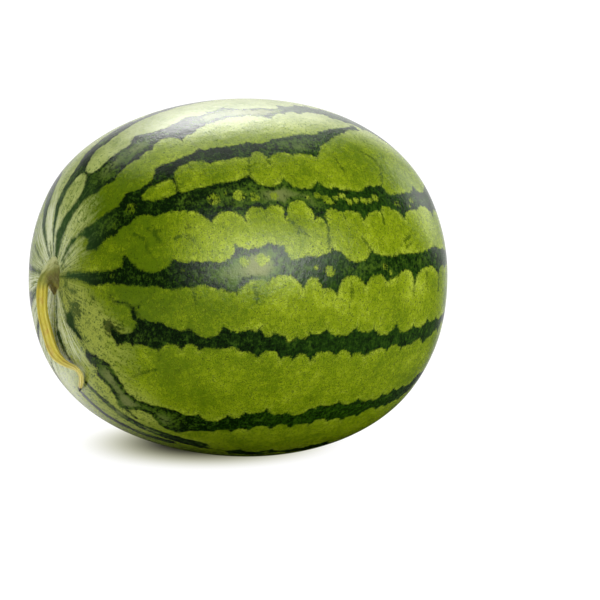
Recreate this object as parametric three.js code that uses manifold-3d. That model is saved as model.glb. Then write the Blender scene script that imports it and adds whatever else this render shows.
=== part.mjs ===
// A watermelon: one oval striped fruit lying on its side, with its short dried stalk.
//
// Millimetres, +Z up. The fruit's long axis runs along X, stem end at -X and tipped up a little.
// The origin lies on the small flat spot that the fruit rests on, below the middle of the fruit.

import * as THREE from 'three';
import { mergeVertices } from 'three/addons/utils/BufferGeometryUtils.js';
import Module from 'manifold-3d';

// ---------------------------------------------------------------- driving dimensions

const HALF_LENGTH = 133.5;      // middle of the fruit to either end
const HALF_WIDTH = 119.3;       // radius at the thickest girth
const BLUNTNESS = 0.62;         // power of the profile's sine: 0.5 is a drum, 1 an ellipsoid
const TAPER = 0.056;            // share by which the stem end is slimmer than the blossom end
const PITCH = THREE.MathUtils.degToRad(4);   // stem end tipped up
const MIDDLE_HEIGHT = 118.7;    // middle of the fruit above the surface that it rests on

const STEM_HOLLOW = { depth: 1.2, reach: 17 };      // shallow dip round the stalk
const STEM_FURROWS = { depth: 0.35, count: 10, from: 15, reach: 16 };
const RIBS = { height: 0.22, count: 10 };           // faint lengthwise ribs
const SWELLINGS = [                                 // slow departures from a true round
  { height: 0.45, around: 2, phase: 0.9, along: 1 },
  { height: 0.35, around: 3, phase: -0.6, along: 2 },
  { height: 0.25, around: 5, phase: 2.1, along: 3 },
];
const BLOSSOM_DIP = { depth: 1.3, reach: 9 };       // small dip at the far end
const BLOSSOM_BUTTON = { height: 1.0, reach: 3.6 }; // corky button left by the flower

const FRUIT_AROUND = 72;        // facets round the fruit
const FRUIT_ALONG = 48;         // facets from pole to pole
const POLE_CROWDING = 0.7;      // how much the facets gather towards the two poles

const FOOT_GAP = 0.55;          // stalk above the rind, so that the two never touch
const STALK_AROUND = 20;
const STALK_ALONG = 58;
const STALK_RIDGES = { share: 0.1, count: 5, turns: 0.55 };

// The stalk's foot, as cross-sections from the rind upwards. Each runs from an inner point, on the
// side that the stalk bends towards, to an outer one: [distance up the fruit's end, height].
const FOOT = [
  { inner: [-12, FOOT_GAP], outer: [14.5, FOOT_GAP], halfWidth: 8.4 },
  { inner: [-9.8, 1.5], outer: [13.2, 2.4], halfWidth: 7.3 },
  { inner: [-6.8, 2.4], outer: [11, 4.1], halfWidth: 6.1 },
  { inner: [-5.2, 3.1], outer: [8.5, 5.9], halfWidth: 5.2 },
  { inner: [-4.8, 3.7], outer: [5.8, 8], halfWidth: 4.6 },
  { inner: [-5, 4.2], outer: [1.9, 10.3], halfWidth: 4.2 },
  { inner: [-6.6, 4.5], outer: [-3.8, 11.8], halfWidth: 4 },
];

// The shaft after the foot: distance from the pole along the rind, clock angle from the top,
// height of the middle of the section over the rind, half width and half depth of the section.
const SHAFT = [
  { reach: 10.5, clock: 180, height: 8.1, halfWidth: 4, halfDepth: 3.8 },
  { reach: 18.5, clock: 180.5, height: 7.1, halfWidth: 3.9, halfDepth: 3.6 },
  { reach: 25, clock: 178.5, height: 6.3, halfWidth: 3.9, halfDepth: 3.6 },
  { reach: 31.3, clock: 175, height: 5.6, halfWidth: 4.1, halfDepth: 3.6 },
  { reach: 38, clock: 171.7, height: 5.1, halfWidth: 4.4, halfDepth: 3.6 },
  { reach: 44.7, clock: 169, height: 4.7, halfWidth: 4.6, halfDepth: 3.5 },
  { reach: 49.2, clock: 166, height: 4.2, halfWidth: 4.3, halfDepth: 3.1 },
  { reach: 54.2, clock: 162, height: 3.4, halfWidth: 3, halfDepth: 2.3 },
  { reach: 58.2, clock: 157.5, height: 2.9, halfWidth: 2.2, halfDepth: 1.8 },
  { reach: 62, clock: 152.7, height: 2.8, halfWidth: 1.9, halfDepth: 1.6 },
  { reach: 65.9, clock: 152.3, height: 2.8, halfWidth: 2, halfDepth: 1.6 },
  { reach: 69.5, clock: 156.2, height: 2.6, halfWidth: 1.9, halfDepth: 1.5 },
  { reach: 73.2, clock: 162.6, height: 2.3, halfWidth: 1.4, halfDepth: 1.3 },
  { reach: 75.4, clock: 166.5, height: 2, halfWidth: 0.6, halfDepth: 0.6 },
];

// ---------------------------------------------------------------- rind surface

/** Half outline of the fruit, pole to pole: x is the radius, y the place along the fruit's axis. */
class Meridian extends THREE.Curve {
  constructor() {
    super();
    this.arcLengthDivisions = 2000;
  }

  getPoint(share, target = new THREE.Vector2()) {
    const angle = Math.PI * share;
    const radius = HALF_WIDTH * Math.max(Math.sin(angle), 0) ** BLUNTNESS;
    return target.set(radius * (1 - TAPER * Math.cos(angle)), -HALF_LENGTH * Math.cos(angle));
  }
}

const meridian = new Meridian();
const MERIDIAN_LENGTH = meridian.getLength();

const hump = (distance, reach) => Math.exp(-((distance / reach) ** 2));

/** Height of the rind over its plain shape, at a distance from the stem pole and a clock angle. */
function relief(reach, clock) {
  const share = reach / MERIDIAN_LENGTH;
  const fromBlossom = MERIDIAN_LENGTH - reach;
  const belly = Math.sin(Math.PI * share) ** 2;
  const furrow = 0.5 - 0.5 * Math.cos(STEM_FURROWS.count * clock);
  let height = -STEM_HOLLOW.depth * hump(reach, STEM_HOLLOW.reach);
  height -= STEM_FURROWS.depth * furrow * hump(reach - STEM_FURROWS.from, STEM_FURROWS.reach);
  height += RIBS.height * Math.cos(RIBS.count * clock) * belly;
  for (const { height: swell, around, phase, along } of SWELLINGS) {
    height += swell * Math.cos(around * clock + phase) * Math.sin(along * Math.PI * share) * belly;
  }
  height -= BLOSSOM_DIP.depth * hump(fromBlossom, BLOSSOM_DIP.reach);
  height += BLOSSOM_BUTTON.height * hump(fromBlossom, BLOSSOM_BUTTON.reach);
  return height;
}

/** Point at a height over the rind. Clock angle 0 is up and it grows towards -Y. */
function overRind(reach, clock, height) {
  const share = THREE.MathUtils.clamp(reach / MERIDIAN_LENGTH, 0, 1);
  const outline = meridian.getPointAt(share);
  const tangent = meridian.getTangentAt(share);
  const out = height + relief(reach, clock);
  const radius = outline.x + out * tangent.y;
  return new THREE.Vector3(
    outline.y - out * tangent.x,
    -radius * Math.sin(clock),
    radius * Math.cos(clock),
  );
}

/** Tips a geometry's stem end up and lifts it to where the fruit rests. */
function setDown(geometry) {
  return geometry.rotateY(PITCH).translate(0, 0, MIDDLE_HEIGHT);
}

/** Closed, welded mesh with positions only. */
function weld(geometry) {
  geometry.deleteAttribute('normal');
  geometry.deleteAttribute('uv');
  return mergeVertices(geometry, 1e-4);
}

// ---------------------------------------------------------------- joining and cutting

const wasm = await Module();
wasm.setup();

function toSolid(geometry) {
  return new wasm.Manifold(new wasm.Mesh({
    numProp: 3,
    vertProperties: new Float32Array(geometry.attributes.position.array),
    triVerts: new Uint32Array(geometry.index.array),
  }));
}

function toGeometry(solid) {
  const { vertProperties, triVerts } = solid.getMesh();
  const geometry = new THREE.BufferGeometry();
  geometry.setAttribute('position', new THREE.BufferAttribute(vertProperties, 3));
  geometry.setIndex(new THREE.BufferAttribute(triVerts, 1));
  geometry.computeVertexNormals();
  return geometry;
}

// ---------------------------------------------------------------- fruit

/** Distances from the stem pole of the rings of facets, closer together at both poles. */
function ringReaches() {
  return Array.from({ length: FRUIT_ALONG + 1 }, (_, i) => {
    const even = i / FRUIT_ALONG;
    const crowded = (1 - Math.cos(Math.PI * even)) / 2;
    return THREE.MathUtils.lerp(even, crowded, POLE_CROWDING) * MERIDIAN_LENGTH;
  });
}

/** The whole fruit as a turned shape with its relief, flat where it rests. */
function fruitGeometry() {
  const reaches = ringReaches();
  const outline = reaches.map((reach) => meridian.getPointAt(reach / MERIDIAN_LENGTH));
  const turned = new THREE.LatheGeometry(outline, FRUIT_AROUND);
  const position = turned.attributes.position;
  const rings = reaches.length;
  for (let i = 0; i < position.count; i += 1) {
    const clock = (2 * Math.PI * (Math.floor(i / rings) % FRUIT_AROUND)) / FRUIT_AROUND;
    const atPole = i % rings === 0 || i % rings === rings - 1;
    const point = overRind(reaches[i % rings], atPole ? 0 : clock, 0);
    position.setXYZ(i, point.x, atPole ? 0 : point.y, atPole ? 0 : point.z);
  }
  const body = toSolid(weld(setDown(turned)));
  const below = new THREE.BoxGeometry(4 * HALF_LENGTH, 4 * HALF_WIDTH, HALF_WIDTH);
  below.translate(0, 0, -HALF_WIDTH / 2);
  return toGeometry(body.subtract(toSolid(weld(below))));
}

// ---------------------------------------------------------------- stalk

/** Cross-sections of the stalk laid out flat: x to the side, y up the fruit's end, z over the rind. */
function stalkSections() {
  const foot = FOOT.map(({ inner, outer, halfWidth }) => ({
    inner: new THREE.Vector3(0, ...inner),
    outer: new THREE.Vector3(0, ...outer),
    side: new THREE.Vector3(-halfWidth, 0, 0),
  }));
  const middles = SHAFT.map(({ reach, clock }) => {
    const angle = THREE.MathUtils.degToRad(clock);
    return new THREE.Vector2(reach * Math.sin(angle), reach * Math.cos(angle));
  });
  const shaft = SHAFT.map(({ height, halfWidth, halfDepth }, i) => {
    const before = middles[Math.max(i - 1, 0)];
    const after = middles[Math.min(i + 1, middles.length - 1)];
    const heading = after.clone().sub(before).normalize();
    return {
      inner: new THREE.Vector3(middles[i].x, middles[i].y, height - halfDepth),
      outer: new THREE.Vector3(middles[i].x, middles[i].y, height + halfDepth),
      side: new THREE.Vector3(heading.y, -heading.x, 0).multiplyScalar(halfWidth),
    };
  });
  return [...foot, ...shaft];
}

/** Ridged stalk with a flared foot, bent over and lying along the rind. */
function stalkGeometry() {
  const sections = stalkSections();
  const rail = (name) => new THREE.CatmullRomCurve3(sections.map((section) => section[name]));
  const [inner, outer, side] = [rail('inner'), rail('outer'), rail('side')];
  const swept = new THREE.CylinderGeometry(1, 1, 1, STALK_AROUND, STALK_ALONG);
  const position = swept.attributes.position;
  for (let i = 0; i < position.count; i += 1) {
    const along = position.getY(i) + 0.5;
    const spread = Math.hypot(position.getX(i), position.getZ(i));
    const angle = Math.atan2(position.getZ(i), position.getX(i));
    const low = inner.getPoint(along);
    const high = outer.getPoint(along);
    const ridge = Math.cos(STALK_RIDGES.count * (angle + 2 * Math.PI * STALK_RIDGES.turns * along));
    const size = spread * (1 - STALK_RIDGES.share * (0.5 - 0.5 * ridge));
    const point = low.clone().add(high).multiplyScalar(0.5);
    point.addScaledVector(high.sub(low), 0.5 * size * Math.sin(angle));
    point.addScaledVector(side.getPoint(along), size * Math.cos(angle));
    const over = overRind(Math.hypot(point.x, point.y), Math.atan2(point.x, point.y), point.z);
    position.setXYZ(i, over.x, over.y, over.z);
  }
  return toGeometry(toSolid(weld(setDown(swept))));
}

// ---------------------------------------------------------------- assembly

function part(name, geometry, { color, roughness }) {
  const material = new THREE.MeshStandardMaterial({ color, roughness, metalness: 0 });
  const mesh = new THREE.Mesh(geometry, material);
  mesh.name = name;
  return mesh;
}

const watermelon = new THREE.Group();
watermelon.name = 'watermelon';
watermelon.add(
  part('fruit', fruitGeometry(), { color: 0x5f8a24, roughness: 0.42 }),
  part('stem', stalkGeometry(), { color: 0xc9b23e, roughness: 0.75 }),
);

export default watermelon;
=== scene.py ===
"""A whole watermelon lying on its side: a waxy striped rind and the dry stalk curved over its end."""

import logging
import math
from collections.abc import Callable, Iterable, Sequence
from dataclasses import dataclass, field
from enum import Enum

import bpy
import numpy as np
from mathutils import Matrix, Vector


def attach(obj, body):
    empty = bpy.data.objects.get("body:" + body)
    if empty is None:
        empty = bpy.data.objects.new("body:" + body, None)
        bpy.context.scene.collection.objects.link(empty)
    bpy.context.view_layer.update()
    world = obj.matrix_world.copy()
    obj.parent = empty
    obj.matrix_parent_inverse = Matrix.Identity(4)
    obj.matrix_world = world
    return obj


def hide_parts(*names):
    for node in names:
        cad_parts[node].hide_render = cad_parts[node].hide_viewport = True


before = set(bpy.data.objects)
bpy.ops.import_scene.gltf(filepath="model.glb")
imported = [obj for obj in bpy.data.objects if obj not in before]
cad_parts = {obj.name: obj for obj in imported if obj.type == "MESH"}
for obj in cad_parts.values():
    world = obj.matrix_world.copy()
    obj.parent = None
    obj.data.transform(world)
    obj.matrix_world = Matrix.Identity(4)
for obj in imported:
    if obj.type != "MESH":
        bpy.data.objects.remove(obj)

MM = 0.001
TINY = 1e-9
HALF_WIDTH = 119.3
FULL_TURN = 2 * math.pi
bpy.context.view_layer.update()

log = logging.getLogger("watermelon")

Pair = tuple[float, float]
# A spot on the rind: reach along it from the stem pole in mm, and clock angle in degrees from the
# top towards -Y. A cusp on a stripe's edge is a spot, and may add how far in mm the light rind
# swells into the stripe before the next cusp.
Spot = Pair
Cusp = Spot | tuple[float, float, float]
Colour = tuple[float, float, float]


def linear(red: float, green: float, blue: float) -> tuple[float, float, float, float]:
    """Turns a screen colour into a linear one.

    Args:
        red: Red, 0 to 255.
        green: Green, 0 to 255.
        blue: Blue, 0 to 255.

    Returns:
        The linear colour with an alpha of one.
    """
    def channel(value: float) -> float:
        """One channel, 0 to 255, as a linear share."""
        share = value / 255
        return share / 12.92 if share <= 0.04045 else ((share + 0.055) / 1.055) ** 2.4

    return channel(red), channel(green), channel(blue), 1.0


# ---------------------------------------------------------------- writing rules as nodes


def step(operation: str, swapped: bool = False) -> Callable[..., "Wire"]:
    """A method that adds one step of arithmetic to a wire.

    Args:
        operation: Blender's name of the step.
        swapped: Whether the other term comes first.

    Returns:
        The method.
    """
    def method(wire: "Wire", *others: "Term") -> "Wire":
        """The wire that comes out of the step."""
        terms = (*others, wire) if swapped else (wire, *others)
        return wire.plan.math(operation, *terms)

    return method


class Wire:
    """A value on its way through a node tree, so that a rule reads as a formula."""

    __add__ = step("ADD")
    __radd__ = step("ADD", swapped=True)
    __sub__ = step("SUBTRACT")
    __rsub__ = step("SUBTRACT", swapped=True)
    __mul__ = step("MULTIPLY")
    __rmul__ = step("MULTIPLY", swapped=True)
    __truediv__ = step("DIVIDE")
    __pow__ = step("POWER")
    sin = step("SINE")
    cos = step("COSINE")
    most = step("MAXIMUM")
    least = step("MINIMUM")

    def __init__(self, plan: "Plan", socket: bpy.types.NodeSocket) -> None:
        """Holds an output socket and the plan that it belongs to."""
        self.plan = plan
        self.socket = socket

    def hump(self, middle: "Term", reach: "Term") -> "Wire":
        """Bell curve of height one round a middle."""
        share = (self - middle) / reach
        return self.plan.math("EXPONENT", share * share * -1)

    def ramp(self, start: float, end: float, low: "Term" = 0.0, high: "Term" = 1.0) -> "Wire":
        """Smooth step from low to high.

        Args:
            start: Value at which the step begins.
            end: Value at which it is over.
            low: Result up to the start.
            high: Result from the end on.

        Returns:
            The eased value.
        """
        values = {"Value": self, "From Min": start, "From Max": end, "To Min": low, "To Max": high}
        return self.plan.wire("ShaderNodeMapRange", values, interpolation_type="SMOOTHSTEP")


Term = Wire | float


class Plan:
    """A node tree under construction."""

    def __init__(self, tree: bpy.types.NodeTree) -> None:
        """Starts on a tree, whose nodes are kept."""
        self.tree = tree

    def node(self, kind: str, values: dict[str | int, object], **settings: object) -> bpy.types.Node:
        """Adds a node.

        Args:
            kind: Blender's name of the node type.
            values: A wire or a plain value for each input to feed, by name or index.
            **settings: Properties of the node, by name.

        Returns:
            The new node.
        """
        made = self.tree.nodes.new(kind)
        for name, value in settings.items():
            setattr(made, name, value)
        self.feed(made, values)
        return made

    def feed(self, node: bpy.types.Node, values: dict[str | int, object]) -> None:
        """Links a wire or sets a plain value for each named or numbered input of a node.

        Args:
            node: The node to feed.
            values: A wire or a plain value for each input, by name or index.
        """
        for key, value in values.items():
            if isinstance(value, Wire):
                self.tree.links.new(value.socket, node.inputs[key])
            else:
                node.inputs[key].default_value = value

    def wire(
        self, kind: str, values: dict[str | int, object], key: str | int = 0, **settings: object
    ) -> Wire:
        """Adds a node and takes the wire from one of its outputs.

        Args:
            kind: Blender's name of the node type.
            values: A wire or a plain value for each input to feed, by name or index.
            key: Name or index of the output.
            **settings: Properties of the node, by name.

        Returns:
            The wire.
        """
        return Wire(self, self.node(kind, values, **settings).outputs[key])

    def math(self, operation: str, *terms: Term) -> Wire:
        """One step of arithmetic."""
        return self.wire("ShaderNodeMath", dict(enumerate(terms)), operation=operation)

    def vector(self, operation: str, *terms: object) -> Wire:
        """One step of vector arithmetic."""
        return self.wire("ShaderNodeVectorMath", dict(enumerate(terms)), operation=operation)

    def measure(self, operation: str, *terms: object) -> Wire:
        """A number worked out from vectors."""
        values = dict(enumerate(terms))
        return self.wire("ShaderNodeVectorMath", values, "Value", operation=operation)

    def scaled(self, vector: Wire, factor: Term) -> Wire:
        """A vector times a number."""
        values = {"Vector": vector, "Scale": factor}
        return self.wire("ShaderNodeVectorMath", values, operation="SCALE")

    def joined(self, x: Term, y: Term, z: Term) -> Wire:
        """A vector from its three parts."""
        return self.wire("ShaderNodeCombineXYZ", {"X": x, "Y": y, "Z": z})

    def split(self, vector: Wire) -> tuple[Wire, Wire, Wire]:
        """The three parts of a vector."""
        node = self.node("ShaderNodeSeparateXYZ", {"Vector": vector})
        return tuple(Wire(self, socket) for socket in node.outputs)

    def noise(self, place: Wire, size: float, detail: float = 2.0, rough: float = 0.5) -> Wire:
        """Smooth noise round zero.

        Args:
            place: Coordinates in mm.
            size: Size of its features in mm.
            detail: Number of finer octaves.
            rough: Share that each finer octave keeps.

        Returns:
            A value from about -0.5 to 0.5.
        """
        values = {"Vector": place, "Scale": 1 / size, "Detail": detail, "Roughness": rough}
        return self.wire("ShaderNodeTexNoise", values, noise_dimensions="3D") - 0.5


class Paint(Plan):
    """A material's node tree under construction."""

    GRAIN_SPREAD = 3.0

    def __init__(self, name: str) -> None:
        """Starts a material of that name with its shader.

        Args:
            name: Name of the material.
        """
        self.material = bpy.data.materials.new(name)
        self.material.use_nodes = True
        super().__init__(self.material.node_tree)
        self.tree.nodes.clear()
        self.shader = self.node("ShaderNodeBsdfPrincipled", {})
        self.output = self.node("ShaderNodeOutputMaterial", {})
        self.feed(self.output, {"Surface": Wire(self, self.shader.outputs[0])})

    def attribute(self, name: str, key: str = "Fac") -> Wire:
        """A number stored on the mesh, or a vector where the key is Vector."""
        return self.wire("ShaderNodeAttribute", {}, key, attribute_name=name)

    def place(self) -> Wire:
        """Object coordinates in mm."""
        return self.scaled(self.wire("ShaderNodeTexCoord", {}, "Object"), 1 / MM)

    def grain(self, place: Wire, size: float, detail: float, rough: float = 0.5) -> Wire:
        """Noise of the same kind, spread wide enough to tell light and dark apart."""
        return self.noise(place, size, detail, rough) * self.GRAIN_SPREAD

    def blend(self, share: Term, low: Wire | Colour, high: Wire | Colour) -> Wire:
        """Mix of two colours.

        Args:
            share: How much of the second colour, 0 to 1.
            low: The first colour.
            high: The second colour.

        Returns:
            The mixed colour.
        """
        first, second = (one if isinstance(one, Wire) else linear(*one) for one in (low, high))
        values = {0: share, 6: first, 7: second}
        return self.wire("ShaderNodeMix", values, 2, data_type="RGBA", clamp_factor=True)

    def cells(self, place: Wire, size: float) -> Wire:
        """Distance in mm to the nearest border between irregular cells of a size in mm."""
        values = {"Vector": place, "Scale": 1 / size}
        borders = self.wire("ShaderNodeTexVoronoi", values, "Distance", feature="DISTANCE_TO_EDGE")
        return borders * size

    def bump(self, height: Wire, strength: float) -> Wire:
        """A normal from a height in mm."""
        values = {"Height": height, "Strength": strength, "Distance": MM}
        return self.wire("ShaderNodeBump", values, "Normal")


class Sheet(Plan):
    """A Geometry Nodes tree under construction, with named inputs."""

    MERGE_WITHIN = 0.001 * MM

    def __init__(self, name: str, takes_mesh: bool = False) -> None:
        """Starts a tree, with a geometry input if it takes a mesh.

        Args:
            name: Name of the tree.
            takes_mesh: Whether it starts from a mesh.
        """
        super().__init__(bpy.data.node_groups.new(name, "GeometryNodeTree"))
        if takes_mesh:
            self.socket("Geometry", "NodeSocketGeometry", "INPUT")
        self.start = self.node("NodeGroupInput", {})
        self.end = self.node("NodeGroupOutput", {})
        self.values: dict[str, float] = {}

    def socket(self, name: str, kind: str, way: str) -> bpy.types.NodeTreeInterfaceSocket:
        """Adds a socket to the tree's outside."""
        return self.tree.interface.new_socket(name=name, in_out=way, socket_type=kind)

    def size(self, name: str, value: float) -> Wire:
        """A named input with its value for the modifier, whole-numbered where the value is.

        Args:
            name: Name of the input.
            value: Its value, and its default.

        Returns:
            The wire from the input.
        """
        kind = "NodeSocketInt" if isinstance(value, int) else "NodeSocketFloat"
        made = self.socket(name, kind, "INPUT")
        made.default_value = value
        self.values[made.identifier] = value
        return Wire(self, self.start.outputs[name])

    def sizes(self, piece: object, *names: str) -> tuple[Wire, ...]:
        """A named input for each of a piece's sizes, by the names of its fields."""
        return tuple(
            self.size(name.replace("_", " ").capitalize(), getattr(piece, name)) for name in names
        )

    def result(self, name: str, kind: str, wire: Wire) -> None:
        """Sends a wire to a named output."""
        self.socket(name, kind, "OUTPUT")
        self.feed(self.end, {name: wire})

    def store(self, geometry: Wire, name: str, kind: str, value: Wire) -> Wire:
        """Stores a value on the points of a geometry under a name.

        Args:
            geometry: The geometry.
            name: Name of the attribute.
            kind: Blender's name of its type.
            value: Its value on each point.

        Returns:
            The geometry with the attribute.
        """
        values = {"Geometry": geometry, "Name": name, "Value": value}
        return self.wire(
            "GeometryNodeStoreNamedAttribute", values, data_type=kind, domain="POINT"
        )

    def grid(self, across: Wire, along: Wire) -> tuple[Wire, Wire, Wire]:
        """A flat grid to be bent into a piece.

        Args:
            across: Number of points along its first side.
            along: Number of points along its second side.

        Returns:
            The grid, and the shares 0 to 1 along its two sides.
        """
        values = {"Size X": 1.0, "Size Y": 1.0, "Vertices X": across, "Vertices Y": along}
        flat = self.wire("GeometryNodeMeshGrid", values)
        x, y, _ = self.split(self.wire("GeometryNodeInputPosition", {}))
        return flat, x + 0.5, y + 0.5

    def moved(self, geometry: Wire, place: Wire) -> Wire:
        """The geometry with its points at new places."""
        return self.wire("GeometryNodeSetPosition", {"Geometry": geometry, "Position": place})

    def finished(self, geometry: Wire, material: bpy.types.Material) -> None:
        """Closes seams and poles, smooths, realizes, dresses and sends out the piece.

        Args:
            geometry: The bent grid.
            material: Its finish.
        """
        for kind, values in (
            ("GeometryNodeMergeByDistance", {"Distance": self.MERGE_WITHIN}),
            ("GeometryNodeSetShadeSmooth", {"Shade Smooth": True}),
            ("GeometryNodeRealizeInstances", {}),
            ("GeometryNodeSetMaterial", {"Material": material}),
        ):
            geometry = self.wire(kind, {"Geometry": geometry, **values})
        self.result("Geometry", "NodeSocketGeometry", geometry)

    def make(self, name: str, mesh: bpy.types.Mesh | None = None) -> bpy.types.Object:
        """Runs the tree once and keeps its result as a plain mesh.

        Args:
            name: Name of the new piece.
            mesh: The mesh that the tree starts from, if it takes one.

        Returns:
            The piece's object, at the origin, with no modifier left.
        """
        carrier = bpy.data.objects.new(name, mesh or bpy.data.meshes.new(name))
        bpy.context.scene.collection.objects.link(carrier)
        modifier = carrier.modifiers.new("shape", "NODES")
        modifier.node_group = self.tree
        for identifier, value in self.values.items():
            modifier[identifier] = value
        graph = bpy.context.evaluated_depsgraph_get()
        made = bpy.data.meshes.new_from_object(
            carrier.evaluated_get(graph), preserve_all_data_layers=True, depsgraph=graph
        )
        bpy.data.objects.remove(carrier)
        made.name = name
        piece = bpy.data.objects.new(name, made)
        bpy.context.scene.collection.objects.link(piece)
        return piece


# ---------------------------------------------------------------- the fruit's shape


@dataclass(frozen=True)
class Swelling:
    """A slow departure from a true round."""

    height: float
    around: int
    phase: float
    along: int


@dataclass(frozen=True)
class RindShape:
    """The fruit's plain shape and its relief, in mm and degrees."""

    half_length: float = 133.5
    half_width: float = HALF_WIDTH
    bluntness: float = 0.62
    taper: float = 0.056
    pitch: float = 4.0
    middle_height: float = 118.7
    hollow_depth: float = 1.2
    hollow_reach: float = 17.0
    furrow_depth: float = 0.35
    furrow_from: float = 15.0
    furrow_reach: float = 16.0
    settled_from: float = 4.0
    rib_height: float = 0.22
    rib_count: int = 10
    swellings: tuple[Swelling, ...] = (
        Swelling(0.45, 2, 0.9, 1),
        Swelling(0.35, 3, -0.6, 2),
        Swelling(0.25, 5, 2.1, 3),
    )
    dip_depth: float = 1.3
    dip_reach: float = 9.0
    button_height: float = 1.0
    button_reach: float = 3.6
    steps: int = 2000

    GROUP = "over the rind"

    def sizes(self) -> dict[str, float]:
        """The driving sizes by the names of their inputs.

        Returns:
            Sizes in mm, shares, and the pitch in radians.
        """
        return {
            "Half length": self.half_length,
            "Half width": self.half_width,
            "Bluntness": self.bluntness,
            "Taper": self.taper,
            "Pitch": math.radians(self.pitch),
            "Middle height": self.middle_height,
        }

    def outline(self) -> tuple[np.ndarray, np.ndarray]:
        """The half outline from pole to pole.

        Returns:
            Reach along the rind, and the radius there, in mm.
        """
        angle = np.linspace(0, math.pi, self.steps + 1)
        radius = self.half_width * np.sin(angle).clip(0) ** self.bluntness
        radius *= 1 - self.taper * np.cos(angle)
        along = -self.half_length * np.cos(angle)
        reach = np.concatenate([[0], np.cumsum(np.hypot(np.diff(radius), np.diff(along)))])
        return reach, radius

    def group(self) -> bpy.types.NodeTree:
        """A node group that puts a point over the rind.

        Returns:
            The group: reach, clock in radians and height in mm go in, and a place in metres comes out.
        """
        sheet = Sheet(self.GROUP)
        reach = sheet.size("Reach", 0.0)
        clock = sheet.size("Clock", 0.0)
        height = sheet.size("Height", 0.0)
        half_length, half_width, bluntness, taper, pitch, middle_height = (
            sheet.size(name, value) for name, value in self.sizes().items()
        )

        line = sheet.wire("GeometryNodeCurvePrimitiveLine", {"End": (1.0, 0.0, 0.0)})
        fine = sheet.wire("GeometryNodeResampleCurve", {"Curve": line, "Count": self.steps + 1})
        angle = sheet.wire("GeometryNodeSplineParameter", {}) * math.pi
        radius = half_width * angle.sin().most(0.0) ** bluntness * (1 - taper * angle.cos())
        along = half_length * angle.cos() * -1
        outline = sheet.moved(fine, sheet.joined(radius, along, 0.0))
        length = sheet.wire("GeometryNodeCurveLength", {"Curve": outline})
        share = reach / length
        values = {"Curves": outline, "Factor": share}
        sample = sheet.node("GeometryNodeSampleCurve", values, mode="FACTOR")
        at_radius, at_along, _ = sheet.split(Wire(sheet, sample.outputs["Position"]))
        tangent_radius, tangent_along, _ = sheet.split(Wire(sheet, sample.outputs["Tangent"]))

        out = height + self.relief(reach, clock, share, length)
        turned = at_radius + out * tangent_along
        axial = at_along - out * tangent_radius
        upright = turned * clock.cos()
        x = axial * pitch.cos() + upright * pitch.sin()
        z = upright * pitch.cos() - axial * pitch.sin() + middle_height
        place = sheet.joined(x, turned * clock.sin() * -1, z.most(0.0))
        sheet.result("Place", "NodeSocketVector", sheet.scaled(place, MM))
        return sheet.tree

    def relief(self, reach: Wire, clock: Wire, share: Wire, length: Wire) -> Wire:
        """Height of the rind over its plain shape.

        Args:
            reach: Distance from the stem pole in mm.
            clock: Clock angle in radians.
            share: Reach as a share of the whole.
            length: Whole length of the outline.

        Returns:
            The height in mm.
        """
        belly = (share * math.pi).sin() ** 2.0
        ribs = (clock * self.rib_count).cos()
        furrow = 0.5 - 0.5 * ribs
        settled = reach.ramp(0.0, self.settled_from)
        height = reach.hump(0.0, self.hollow_reach) * -self.hollow_depth
        height -= furrow * settled * self.furrow_depth * reach.hump(self.furrow_from, self.furrow_reach)
        height += ribs * self.rib_height * belly
        for swelling in self.swellings:
            swell = (clock * swelling.around + swelling.phase).cos() * swelling.height
            height += swell * (share * (swelling.along * math.pi)).sin() * belly
        height -= reach.hump(length, self.dip_reach) * self.dip_depth
        height += reach.hump(length, self.button_reach) * self.button_height
        return height


def over_rind(sheet: Sheet, shape: RindShape, reach: Wire, clock: Wire, height: Term) -> Wire:
    """Adds the group that puts points over the rind, with the fruit's sizes as inputs.

    Args:
        sheet: The tree that needs it.
        shape: The fruit's shape.
        reach: Distance from the stem pole in mm.
        clock: Clock angle in radians.
        height: Height over the rind in mm.

    Returns:
        The place in metres.
    """
    tree = bpy.data.node_groups.get(RindShape.GROUP) or shape.group()
    values = {name: sheet.size(name, value) for name, value in shape.sizes().items()}
    values |= {"Reach": reach, "Clock": clock, "Height": height}
    return sheet.wire("GeometryNodeGroup", values, "Place", node_tree=tree)


# ---------------------------------------------------------------- the stripes


@dataclass(frozen=True)
class Stripe:
    """A dark stripe between two scalloped edges, each given from the stem end to the blossom end."""

    upper: Sequence[Cusp]
    lower: Sequence[Cusp]


@dataclass(frozen=True)
class Tongue:
    """A dark stroke, with its half width in mm at its start and at its end."""

    path: tuple[Spot, ...]
    start: float = 0.0
    end: float = 0.0


@dataclass(frozen=True)
class Light:
    """A round patch of the rind, with its radius in mm and how strongly it shows."""

    reach: float
    clock: float
    radius: float
    share: float = 1.0


def lights(*rows: tuple[float, float, float, float]) -> tuple[Light, ...]:
    """Round patches from their reach, clock, radius and share."""
    return tuple(Light(*row) for row in rows)


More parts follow.
